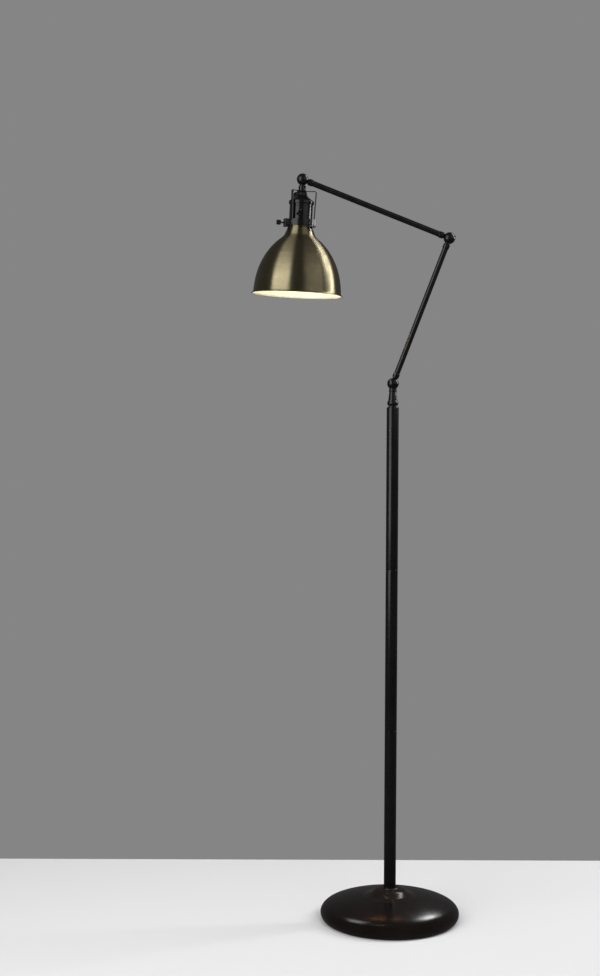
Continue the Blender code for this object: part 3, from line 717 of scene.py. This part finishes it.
def cheek(name, inner_y, recess):
    """One side of a slotted ball, turned about Y: flat towards the slot, with a hole for the
    pivot and, on the back, a recess for its head."""
    side = 1 if inner_y > 0 else -1
    rim_r = math.sqrt(BALL_R**2 - inner_y**2)
    hole_r = HEAD_RECESS_R if recess else PIVOT_HOLE_R
    start = math.degrees(math.acos((hole_r + 0.35) / BALL_R))
    end = math.degrees(math.asin((abs(inner_y) + 0.45) / BALL_R))
    outline = [(hole_r, BALL_R * math.sin(math.radians(start)) - 0.35)]
    outline += arc((0, 0), (BALL_R, BALL_R), start, end, 16)
    outline += [(rim_r - 0.12, abs(inner_y) + 0.12), (rim_r - 0.45, abs(inner_y))]
    outline += [(PIVOT_HOLE_R, abs(inner_y))]
    if recess:
        outline += [(PIVOT_HOLE_R, HEAD_RECESS_Y), (HEAD_RECESS_R, HEAD_RECESS_Y)]
    made = lathe(name, outline, 72)
    return moved(made, turn("X", -90 * side))


def knuckle_web(name):
    """What joins a ball's two sides below the slot."""
    side = math.radians(SLOT_SWING - 90.0)
    edge = TANG_HALF_WIDTH + 0.3
    eye = EYE_R + 0.3
    reach = BALL_R + 3.0
    side_z = -(edge / math.cos(side) + reach * math.tan(side))
    half = math.degrees(math.acos(edge / eye) - side)
    outline = [(-reach, -reach), (-reach, side_z)]
    outline += arc((0, 0), (eye, eye), 270.0 - half, 270.0 + half, 8)
    outline += [(reach, side_z), (reach, -reach)]
    thickness = SLOT_BACK - SLOT_FRONT + 1.6
    middle = (SLOT_BACK + SLOT_FRONT) / 2
    slab = moved(prism(name + "_slab", outline, thickness), shift(0, middle, 0), turn("X", 90))
    ball_r = BALL_R - 0.01
    outline = [(0, ball_r)] + arc((0, 0), (ball_r, ball_r), 88.0, -88.0, 40) + [(0, -ball_r)]
    return combined(lathe(name, outline, 72), [slab], "INTERSECT")


def slotted_ball(name, neck, hole_direction=None):
    """A ball cut by a slot, on a turned neck that reaches up into it."""
    front = cheek(name, SLOT_FRONT, False)
    back = cheek(name + "_back", SLOT_BACK, True)
    web = knuckle_web(name + "_web")
    ball = joined(front, web, back, lathe(name + "_neck", neck, 72))
    if hole_direction is not None:
        hole = rod(name + "_hole", 1.6, 4.0, 20.0, 24)
        ball = cut(ball, moved(hole, shift(0, -6.2, 0), turn("Y", hole_direction)))
    return ball


def pivot_set(prefix, body, height):
    """The pivot screw, slotted at the back and riveted over at the front, and its washer."""
    outline = rounded(
        [
            (0, 11.0, 0),
            (0, 11.0, 0),
            (3.0, 10.9, 0.4),
            (4.3, 9.8, 0.6),
            (4.3, 8.5, 0.15),
            (2.5, 8.5, 0.1),
            (2.5, -10.4, 0.5),
            (1.8, -11.1, 0.3),
            (0, -11.3, 0),
        ]
    )
    slot_cut = box(prefix + "_slot", (-0.6, -6.0, 9.7), (0.6, 6.0, 12.0))
    screw = cut(lathe(prefix + "_pivot_screw_turned", outline, 48), slot_cut)
    moved(screw, shift(0, 0, height), turn("Y", 35), turn("X", -90))
    place(screw, body, DARK_STEEL, [prefix + "_pivot_screw"])
    ring = rounded([(2.8, 3.2, 0), (5.95, 3.2, 0.12), (5.95, 2.5, 0.12), (2.8, 2.5, 0)])
    washer = lathe(prefix + "_spring_washer", ring, 48)
    moved(washer, shift(0, 0, height), turn("X", -90))
    place(washer, body, PLAIN_BRASS, [prefix + "_friction_washer"])


def lock_screw(prefix, body, height, direction):
    """A small grub screw that stands a little out of the ball's front side."""
    inner, outer, radius = 4.6, 12.8, 1.3
    corners = [(0, outer, 0), (0, outer, 0), (radius, outer, 0.35), (radius, inner, 0.3), (0, inner, 0)]
    slot_cut = box(prefix + "_slot", (-3.0, -0.3, outer - 0.7), (3.0, 0.3, outer + 1.0))
    screw = cut(lathe(prefix + "_grub_screw", rounded(corners), 32), slot_cut)
    moved(screw, shift(0, -6.2, height), turn("Y", direction))
    place(screw, body, DARK_STEEL, [prefix + "_lock_screw"])


def tang(name, body, height, turned, node):
    """The flat tongue that swings in a ball's slot, and its round shank."""
    corner = math.degrees(math.asin(TANG_HALF_WIDTH / EYE_R))
    flat_end = FERRULE_START - 0.3
    outline = arc((0, 0), (EYE_R, EYE_R), 90.0 + corner, 450.0 - corner, 36)
    outline += [(TANG_HALF_WIDTH, flat_end), (-TANG_HALF_WIDTH, flat_end)]
    eye = arc((0, 0), (2.8, 2.8), 0.0, 350.0, 35)
    tongue = moved(plate(name, [outline, eye], TANG_THICKNESS, 0.35), turn("X", 90))
    shank_outline = [(0, SHANK_END), (SHANK_R, SHANK_END), (SHANK_R, flat_end - 0.4), (0, flat_end - 0.4)]
    made = grouped(tongue, lathe(name + "_shank", shank_outline, 32))
    moved(made, shift(0, 0, height), turn("Y", turned))
    place(made, body, PAINT, [node])


def ferrule(name, body, height, turned, node):
    """A turned collar with a rounded lip, a fine groove and a taper down to the tube."""
    outline = rounded(
        [
            (4.9, FERRULE_START, 0),
            (6.1, FERRULE_START, 0.3),
            (7.0, FERRULE_START + 0.9, 0.5),
            (7.0, FERRULE_START + 2.6, 0.1),
            (6.75, FERRULE_START + 2.8, 0.1),
            (6.75, FERRULE_START + 3.2, 0.1),
            (7.0, FERRULE_START + 3.4, 0.1),
            (7.0, FERRULE_END - 2.4, 1.0),
            (6.5, FERRULE_END - 0.3, 0.3),
            (6.05, FERRULE_END, 0),
            (6.05, TUBE_START - 0.4, 0),
            (4.9, TUBE_START - 0.4, 0),
        ]
    )
    made = moved(lathe(name, outline, 64), shift(0, 0, height), turn("Y", turned))
    place(made, body, PAINT, [node])


def arm_tube(name, body, length, node):
    top = length - TUBE_START
    outline = [(ARM_BORE_R, top), (ARM_R, top), (ARM_R, TUBE_START), (ARM_BORE_R, TUBE_START)]
    place(lathe(name, outline, 64), body, PAINT, [node])


def shank_neck():
    """The neck of a ball whose shank is screwed into an arm's end."""
    return rounded(
        [
            (0, -8.0, 0),
            (5.2, -8.0, 0),
            (5.2, -12.0, 0.4),
            (5.4, 0.3 - FERRULE_START, 0.1),
            (SHANK_R, -FERRULE_START, 0.1),
            (SHANK_R, -SHANK_END, 0.4),
            (0, -SHANK_END, 0),
        ]
    )


# ---------------------------------------------------------------- swivelling post


def swivel_post():
    """The turned post: a round bead, a slim neck, a fine ring and the slotted ball."""
    bead = arc((4.5, 8.6), (7.25, 7.6), -46, 47, 16)
    waist = smooth([bead[-1], (9.0, 18.6), (8.3, 25.4), (7.6, 31.0)], 6)[1:]
    ring = rounded([(7.5, 31.9, 0), (7.5, 31.9, 0), (8.7, 32.6, 0.5), (8.7, 34.3, 0.5), (7.8, 34.9, 0)])
    outline = [(3.2, -33.0), (5.8, -33.0), (5.8, 3.15)]
    outline += bead + waist + ring + [(7.7, 37.5), (7.7, 41.0), (3.2, 41.0)]
    neck = [(radius, height - POST_HEIGHT) for radius, height in outline]
    ball = slotted_ball("turned_swivel_post", neck, -67.0)
    bore = rod("cord_bore", 3.2, -85.0, -6.0)
    post = moved(cut(ball, bore), shift(0, 0, POST_HEIGHT))
    place(post, "swivel", PAINT, ["swivel_post"])
    pivot_set("lower", "swivel", POST_HEIGHT)
    lock_screw("lower", "swivel", POST_HEIGHT, -67.0)


# ---------------------------------------------------------------- arms


def lower_arm():
    tang("lower_tongue", "lower_arm", 0, 0, "lower_arm_tang")
    ferrule("lower_foot_ferrule_turned", "lower_arm", 0, 0, "lower_arm_foot_ferrule")
    arm_tube("lower_tube", "lower_arm", LOWER_ARM_LENGTH, "lower_arm_tube")
    ferrule("lower_top_ferrule_turned", "lower_arm", LOWER_ARM_LENGTH, 180, "lower_arm_top_ferrule")
    ball = moved(slotted_ball("elbow_slotted_ball", shank_neck(), 54.0), shift(0, 0, LOWER_ARM_LENGTH))
    place(ball, "lower_arm", PAINT, ["elbow_ball"])
    pivot_set("elbow", "lower_arm", LOWER_ARM_LENGTH)
    lock_screw("elbow", "lower_arm", LOWER_ARM_LENGTH, 54.0)


def upper_arm():
    tang("elbow_tongue", "upper_arm", 0, 0, "elbow_tang")
    ferrule("upper_elbow_ferrule_turned", "upper_arm", 0, 0, "upper_arm_elbow_ferrule")
    arm_tube("upper_tube", "upper_arm", UPPER_ARM_LENGTH, "upper_arm_tube")
    ferrule("upper_head_ferrule_turned", "upper_arm", UPPER_ARM_LENGTH, 180, "upper_arm_head_ferrule")
    tang("head_tongue", "upper_arm", UPPER_ARM_LENGTH, 180, "head_tang")


# ---------------------------------------------------------------- head


def stem():
    neck = rounded(
        [
            (0, -8.0, 0),
            (5.2, -8.0, 0),
            (5.2, -12.6, 0.2),
            (SHANK_R, -12.9, 0.1),
            (SHANK_R, -38.0, 0.4),
            (0, -38.0, 0),
        ]
    )
    ball = slotted_ball("head_slotted_ball", neck)
    place(ball, "head", PAINT, ["head_ball"])
    pivot_set("head", "head", 0)
    sleeve = rounded(
        [
            (4.7, -12.9, 0),
            (6.8, -12.9, 0.3),
            (7.55, -13.7, 0.5),
            (7.55, -22.9, 0.5),
            (6.8, -23.7, 0.3),
            (4.7, -23.7, 0),
        ]
    )
    place(lathe("turned_stem_sleeve", sleeve, 64), "head", PAINT, ["stem_sleeve"])


def strap_outline():
    """Side view of one bent strap, as (radius, height) points round its thickness."""
    bend, top = 4.0, -STRAP_TOP
    outer = [(7.0, top)] + arc((STRAP_OUT_TOP - bend, top - bend), (bend, bend), 90, 0, 12)
    outer.append((STRAP_OUT_FOOT, -STRAP_FOOT))
    return outer + inset(outer, STRAP_THICKNESS)[::-1]


def strap_holder():
    top = -STRAP_TOP
    disc = rounded(
        [
            (4.7, top, 0),
            (10.5, top, 0.3),
            (10.5, top - STRAP_THICKNESS, 0.3),
            (4.7, top - STRAP_THICKNESS, 0),
        ]
    )
    straps = []
    for side, azimuth in STRAP_AZIMUTHS.items():
        strap = plate("bent_strap_" + side, [strap_outline()], STRAP_WIDTH, 0.3)
        straps.append(moved(strap, turn("Z", azimuth), turn("X", 90)))
    holder = grouped(lathe("three_strap_holder", disc, 64), *straps)
    place(holder, "head", PAINT, ["strap_holder"], crease=50.0)
    for side, azimuth in STRAP_AZIMUTHS.items():
        outline = [(0, 30.4)] + arc((0, 28.9), (2.6, 1.5), 80, 8, 8)
        outline += [(2.6, 28.9), (1.3, 28.9), (1.3, 25.9), (0, 25.9)]
        rivet = lathe("domed_rivet_" + side, outline, 32)
        moved(rivet, shift(0, 0, -RIVET_DEPTH), turn("Z", azimuth), turn("Y", 90))
        place(rivet, "head", DARK_STEEL, ["strap_rivet_" + side])


def lug_outline(slit):
    """Plan of a lug along +X, from the ring's bore out, with a rounded outer end. With a slit
    it is only the half on the +Y side."""
    half, bore = LUG_HALF_WIDTH, RING_BORE_R + 0.05
    corner = 2.0
    upper = math.degrees(math.asin(half / bore))
    lower = math.degrees(math.asin(0.7 / bore)) if slit else -upper
    inner = arc((0, 0), (bore, bore), upper, lower, 10)
    foot = 0.7 if slit else -half
    foot_corner = 0.4 if slit else corner
    outer = rounded(
        [
            (bore, foot, 0),
            (LUG_OUT, foot, foot_corner),
            (LUG_OUT, half, corner),
            (bore * math.cos(math.radians(upper)), half, 0),
        ]
    )
    return inner + outer[1:-1]


def thumbscrew_hole(name):
    """A cutter for the clear hole that the thumbscrew's shank turns in."""
    hole = rod(name, THUMBSCREW_R + THUMBSCREW_CLEARANCE, RING_BORE_R - 6.0, LUG_OUT + 10.0)
    return moved(hole, shift(0, 0, -LUG_SCREW_DEPTH), turn("Z", THUMBSCREW_AZIMUTH), turn("Y", 90))


def fitter_ring():
    """The channel round the shade's neck that the straps' feet stand in. It has a thumbscrew lug
    on the left and a split clamp lug."""
    band = rounded(
        [
            (RING_BORE_R, -RING_TOP, 0),
            (RING_R, -RING_TOP, 0.2),
            (RING_R, -CHANNEL_FLOOR, 0.2),
            (CHANNEL_R, -CHANNEL_FLOOR, 0.2),
            (CHANNEL_R, -RING_TOP, 0.2),
            (BAND_R, -RING_TOP, 0.25),
            (BAND_R, -RING_FOOT, 0.25),
            (RING_BORE_R, -RING_FOOT, 0),
        ]
    )
    ring = lathe("split_fitter_ring", band, 120)
    slit = box("slit", (15.0, -0.7, -LUG_FOOT - 5.0), (50.0, 0.7, -LUG_TOP + 5.0))
    ring = cut(ring, moved(slit, turn("Z", CLAMP_AZIMUTH)))
    thickness = LUG_FOOT - LUG_TOP
    middle = shift(0, 0, -(LUG_TOP + LUG_FOOT) / 2)
    ring = cut(ring, thumbscrew_hole("band_hole"))
    left = plate("left_lug", [lug_outline(False)], thickness, 0.5)
    moved(left, middle, turn("Z", THUMBSCREW_AZIMUTH))
    left = cut(left, thumbscrew_hole("lug_hole"))
    near = plate("near_lug", [lug_outline(True)], thickness, 0.4)
    far = plate("far_lug", [lug_outline(True)], thickness, 0.4)
    moved(near, middle, turn("Z", CLAMP_AZIMUTH))
    moved(far, middle, turn("Z", CLAMP_AZIMUTH), turn("X", 180))
    ring = grouped(ring, left, near, far)
    place(ring, "head", PAINT, ["fitter_ring"], crease=40.0)
    clamp_screw()


def clamp_screw():
    face = LUG_HALF_WIDTH
    outline = rounded(
        [
            (0, face + 2.0, 0),
            (0, face + 2.0, 0),
            (2.4, face + 1.9, 0.4),
            (3.7, face + 1.0, 0.5),
            (3.7, face + 0.1, 0.1),
            (1.6, face + 0.1, 0),
            (1.6, -5.0, 0.3),
            (0, -5.0, 0),
        ]
    )
    groove = box("groove", (-5.0, -0.45, face + 1.0), (5.0, 0.45, face + 4.0))
    screw = cut(lathe("slotted_clamp_screw", outline, 48), moved(groove, turn("Z", 25)))
    centre = polar(CLAMP_AZIMUTH, CLAMP_SCREW_OUT, -LUG_SCREW_DEPTH)
    moved(screw, Matrix.Translation(centre), turn("Z", CLAMP_AZIMUTH), turn("X", 90))
    place(screw, "head", DARK_STEEL, ["clamp_screw"])


def thumbscrew():
    """A straight-knurled knob with a shallow dished end, on a plain shank."""
    knurls, depth, knob_start, knob_end = 26, 0.3, 42.6, 50.8

    def knurled(angle, radius, height):
        inside = knob_start + 0.6 < height < knob_end - 0.6 and radius > 4.8
        return radius - depth * (0.5 - 0.5 * math.cos(knurls * angle)) if inside else radius

    outline = [
        (0, knob_end - 0.5),
        (3.2, knob_end - 0.5),
        (3.6, knob_end),
        (4.3, knob_end),
        (4.8, knob_end - 0.2),
        (5.0, knob_end - 0.61),
        (5.15, knob_end - 0.9),
        (5.15, knob_start + 0.9),
        (5.0, knob_start + 0.61),
        (4.5, knob_start),
        (2.8, knob_start),
        (2.4, knob_start - 0.6),
        (THUMBSCREW_R, knob_start - 1.4),
        (THUMBSCREW_R, 26.3),
        (1.3, 25.9),
        (0, 25.9),
    ]
    screw = lathe("knurled_thumbscrew", outline, knurls * 6, ripple=knurled)
    moved(screw, shift(0, 0, -LUG_SCREW_DEPTH), turn("Z", THUMBSCREW_AZIMUTH), turn("Y", 90))
    place(screw, "shade_screw", DARK_STEEL, ["thumbscrew"])


def socket():
    """The domed cap with its rolled skirt over the straight shell."""
    neck = [(10.6, -28.6), (11.3, -32.0), (13.2, -35.6)]
    skirt = [(18.0, -39.4), (22.6, -43.0), (24.0, -44.3)]
    dome = smooth(neck + skirt, 6)
    outer = rounded([(4.8, -26.2, 0), (9.2, -26.2, 0.7), (10.6, -28.6, 0)]) + dome[1:]
    outer += rounded(
        [
            (24.2, -44.5, 0),
            (25.9, -45.0, 0.5),
            (26.15, -45.9, 0.4),
            (26.15, -50.0, 0.4),
            (25.8, -51.5, 0.4),
            (25.3, -51.6, 0),
        ]
    )
    cap = lathe("domed_socket_cap", outer + inset(outer, 0.9)[::-1], 112)
    place(cap, "head", PAINT, ["socket_cap"])

    shell = rounded(
        [
            (23.3, -47.5, 0),
            (24.1, -47.5, 0.2),
            (24.1, -55.8, 0.2),
            (23.85, -56.1, 0.2),
            (23.85, -56.7, 0.2),
            (24.1, -57.0, 0.2),
            (24.0, -89.6, 0.3),
            (23.3, -90.0, 0),
        ]
    )
    body = lathe("beaded_socket_shell", shell, 112)
    hole = rod("key_hole", 4.3, 15.0, 40.0)
    moved(hole, shift(0, 0, -SWITCH_DEPTH), turn("Z", KEY_AZIMUTH), turn("X", 90))
    place(cut(body, hole), "head", PAINT, ["socket_shell"])


def turn_key():
    """The key: a shaft, a round boss and a flat oval paddle with rounded edges."""
    boss_start, boss_end, key_end = 24.5, 27.9, 39.2
    boss = rounded(
        [
            (0, boss_end + 1.4, 0),
            (2.4, boss_end + 1.2, 0.5),
            (3.6, boss_end, 0.6),
            (3.6, boss_start, 0.4),
            (2.4, boss_start, 0.1),
            (2.4, 13.0, 0.3),
            (0, 13.0, 0),
        ]
    )
    oval = arc((0, 0), ((key_end - boss_end) / 2, 7.5), 0, 354, 59)
    paddle = plate("key_paddle", [oval], 4.2, 1.5)
    moved(paddle, shift(0, 0, (boss_end + key_end) / 2), turn("Y", 90))
    key = grouped(lathe("oval_turn_key", boss, 48), paddle)
    moved(key, shift(0, 0, -SWITCH_DEPTH), turn("Z", KEY_AZIMUTH), turn("Y", KEY_TURN), turn("X", 90))
    place(key, "turn_key", PAINT, ["switch_key"])


def shade_outline():
    """The bell from its straight neck over a crease into the dome, down to a rolled rim."""
    neck = rounded([(25.4, -85.0, 0), (25.4, -85.0, 0), (25.4, -99.0, 4.0), (29.2, -108.6, 0)], 6)
    flare = smooth([(29.2, -108.6), (32.2, -115.6)], 3)[1:]
    crown = smooth([(32.6, -116.2), (37.0, -120.8), (46.6, -129.0), (58.6, -141.6), (69.8, -157.2)], 6)
    skirt = smooth([(69.8, -157.2), (78.8, -175.2), (85.4, -194.0), (89.5, -214.0), (91.6, -233.0)], 8)
    lip = smooth([(91.6, -233.0), (92.2, -235.8), (93.3, -237.2), (94.2, 0.9 - SHADE_RIM)], 4)
    return neck + flare + crown + skirt[1:] + lip[1:]


def shade():
    outer = shade_outline()
    inner = inset(outer, 0.9)
    inner = [point for point in inner if point[1] > 2.2 - SHADE_RIM]
    lip = arc((94.2, 0.75 - SHADE_RIM), (0.9, 0.75), 80, -190, 12)
    bell = lathe("spun_bell_shade", outer[:-1] + lip + inner[::-1], 192)
    place(bell, "head", [BRASS, ENAMEL], ["shade"], crease=28.0)
    for polygon in bell.data.polygons:
        outwards = Vector((polygon.center.x, polygon.center.y, 0)).normalized()
        depth = -polygon.center.z / MM
        radius = Vector((polygon.center.x, polygon.center.y)).length / MM
        facing_in = polygon.normal.dot(outwards) < 0 or polygon.normal.z < -0.4
        if facing_in and 85.5 < depth < SHADE_RIM - 0.4 and radius < 94.0:
            polygon.material_index = 1


def bulb():
    bowl = arc((0, -153.0), (30.0, 30.0), 26, -88, 28)
    outer = smooth([(13.2, -98.0), (13.8, -105.0), (17.6, -118.0), (22.8, -130.0)], 6)
    outer = outer[:-1] + smooth([(22.8, -130.0), bowl[0]], 3)[:-1] + bowl + [(0, -183.0)]
    inner = inset(outer, 0.8)[:-1] + [(0, -182.2)]
    glass = lathe("lit_bulb_glass", inner[::-1] + outer, 96)
    place(glass, "head", GLASS, ["bulb_glass"], crease=60.0)
    thread = [(13.0, -98.2)]
    for step in range(28):
        depth = 95.5 - step * 0.5
        thread.append((12.6 + 0.45 * math.cos(step * 2 * math.pi / 7), -depth))
    outline = [(0, -98.2)] + thread + [(9.0, -78.6), (5.0, -77.6), (4.0, -76.2), (0, -76.0)]
    cap = lathe("threaded_bulb_cap", outline, 64)
    place(cap, "head", STEEL, ["bulb_cap"])


# ---------------------------------------------------------------- build

base_cover()
cord_gland()
pole_hub()
pole_sections()
pole_collar()
swivel_post()
lower_arm()
upper_arm()
stem()
strap_holder()
fitter_ring()
thumbscrew()
socket()
turn_key()
shade()
bulb()

finish_nodes(IRON, "base_weight")
finish_nodes(FELT, "base_pad")
finish_nodes(STEEL, "base_stud", "base_nut", "base_washer", "coupler_lower", "coupler_upper")
finish_nodes(STEEL, "pole_foot_plug", "post_nut", "cap_lock_nut")
finish_nodes(JACKET, "inner_cord", "lower_arm_lead", "upper_arm_lead")
finish_nodes(FIBRE, "socket_liner")
finish_nodes(PHENOLIC, "switch_block")
finish_nodes(PLAIN_BRASS, "screw_shell", "centre_contact")


# ---------------------------------------------------------------- studio

CAMERA_PLACE = (-0.193, -3.252, 1.066)
CAMERA_PITCH = -2.70
CAMERA_ROLL = 0.203
CAMERA_LENS = 57.4
FLOOR_BACK = 0.433
WALL_GREY = 0.235
ROOM_GREY = 0.09


def camera():
    data = bpy.data.cameras.new("camera")
    data.lens = CAMERA_LENS
    data.sensor_width = 36.0
    obj = bpy.data.objects.new("camera", data)
    obj.matrix_world = (
        Matrix.Translation(CAMERA_PLACE) @ turn("X", 90.0 + CAMERA_PITCH) @ turn("Z", CAMERA_ROLL)
    )
    bpy.context.scene.collection.objects.link(obj)
    bpy.context.scene.camera = obj


def floor():
    """A pale floor that ends a little behind the lamp."""
    made = box("floor", (-3.0, -3.2, -0.02), (3.0, FLOOR_BACK, 0.0))
    shading = Shading("pale_floor")
    shading.colour(shading.blend(shading.noise(2.0, 2.0), (0.80, 0.80, 0.81), (0.83, 0.83, 0.84)))
    shading.set(Roughness=0.75)
    made.data.materials.append(shading.material)
    made.visible_glossy = False


def card(name, azimuth, elevation, distance, size, radiance, aim, colour=(1.0, 1.0, 1.0)):
    """A rectangular light set by the direction that it's seen in from a point on the lamp: degrees
    to the right of the camera, then degrees up. It shows in reflections but not to the camera."""
    data = bpy.data.lights.new(name, "AREA")
    data.shape = "RECTANGLE"
    data.size, data.size_y = size
    data.energy = radiance * math.pi * size[0] * size[1]
    data.color = colour
    obj = bpy.data.objects.new(name, data)
    outwards = turn("Z", azimuth) @ turn("X", -elevation) @ Vector((0, -1, 0))
    facing = outwards.to_track_quat("Z", "Y").to_matrix().to_4x4()
    obj.matrix_world = Matrix.Translation(Vector(aim) + outwards * distance) @ facing
    obj.visible_camera = False
    bpy.context.scene.collection.objects.link(obj)
    return obj


def light_only(light, obj, state):
    """Keeps a light to one object, or keeps it off that object."""
    receivers = bpy.data.collections.new(light.name + "_receivers")
    receivers.objects.link(obj)
    receivers.collection_objects[0].light_linking.link_state = state
    light.light_linking.receiver_collection = receivers


def world():
    """Grey behind the lamp, and a dimmer room in the reflections and the fill light."""
    made = bpy.data.worlds.new("studio")
    made.use_nodes = True
    tree = made.node_tree
    background = tree.nodes["Background"]
    path = tree.nodes.new("ShaderNodeLightPath")
    mix = tree.nodes.new("ShaderNodeMix")
    mix.data_type = "RGBA"
    mix.inputs[6].default_value = (ROOM_GREY, ROOM_GREY, ROOM_GREY, 1.0)
    mix.inputs[7].default_value = (WALL_GREY, WALL_GREY, WALL_GREY, 1.0)
    tree.links.new(path.outputs["Is Camera Ray"], mix.inputs["Factor"])
    tree.links.new(mix.outputs[2], background.inputs["Color"])
    bpy.context.scene.world = made


def studio():
    camera()
    floor()
    world()
    head = (-0.19, 0.0, 1.4)
    middle = (0.0, 0.0, 1.2)
    base = (0.0, 0.0, 0.03)
    key_strip = card("key_strip", 105.0, 20.0, 2.6, (0.65, 2.0), 12.0, head)
    tall_left = card("tall_left", -49.0, 15.0, 2.45, (1.95, 2.9), 3.1, middle)
    dim_right = card("dim_right", 45.0, 26.0, 2.45, (2.3, 2.1), 0.75, middle)
    overhead = card("overhead", 0.0, 80.0, 3.4, (3.0, 3.0), 1.65, base)
    overhead.visible_glossy = False
    key_top = card("key_top", 122.0, 44.0, 3.2, (0.7, 1.0), 7.0, head)
    accents = [
        card("high_left", -128.0, 60.0, 3.4, (1.2, 0.8), 4.5, base),
        card("high_right", 153.0, 45.0, 4.0, (0.4, 0.75), 20.0, base),
        card("warm_back", 180.0, 54.0, 3.5, (0.8, 0.12), 6.0, base, (1.0, 0.4, 0.17)),
    ]
    cover = bpy.data.objects["domed_base_cover"]
    for light in [key_top] + accents:
        light.visible_diffuse = False
    for light in accents:
        light_only(light, cover, "INCLUDE")
    for light in (key_strip, key_top, tall_left, dim_right):
        light_only(light, cover, "EXCLUDE")


studio()
bpy.context.scene.view_settings.view_transform = "Standard"
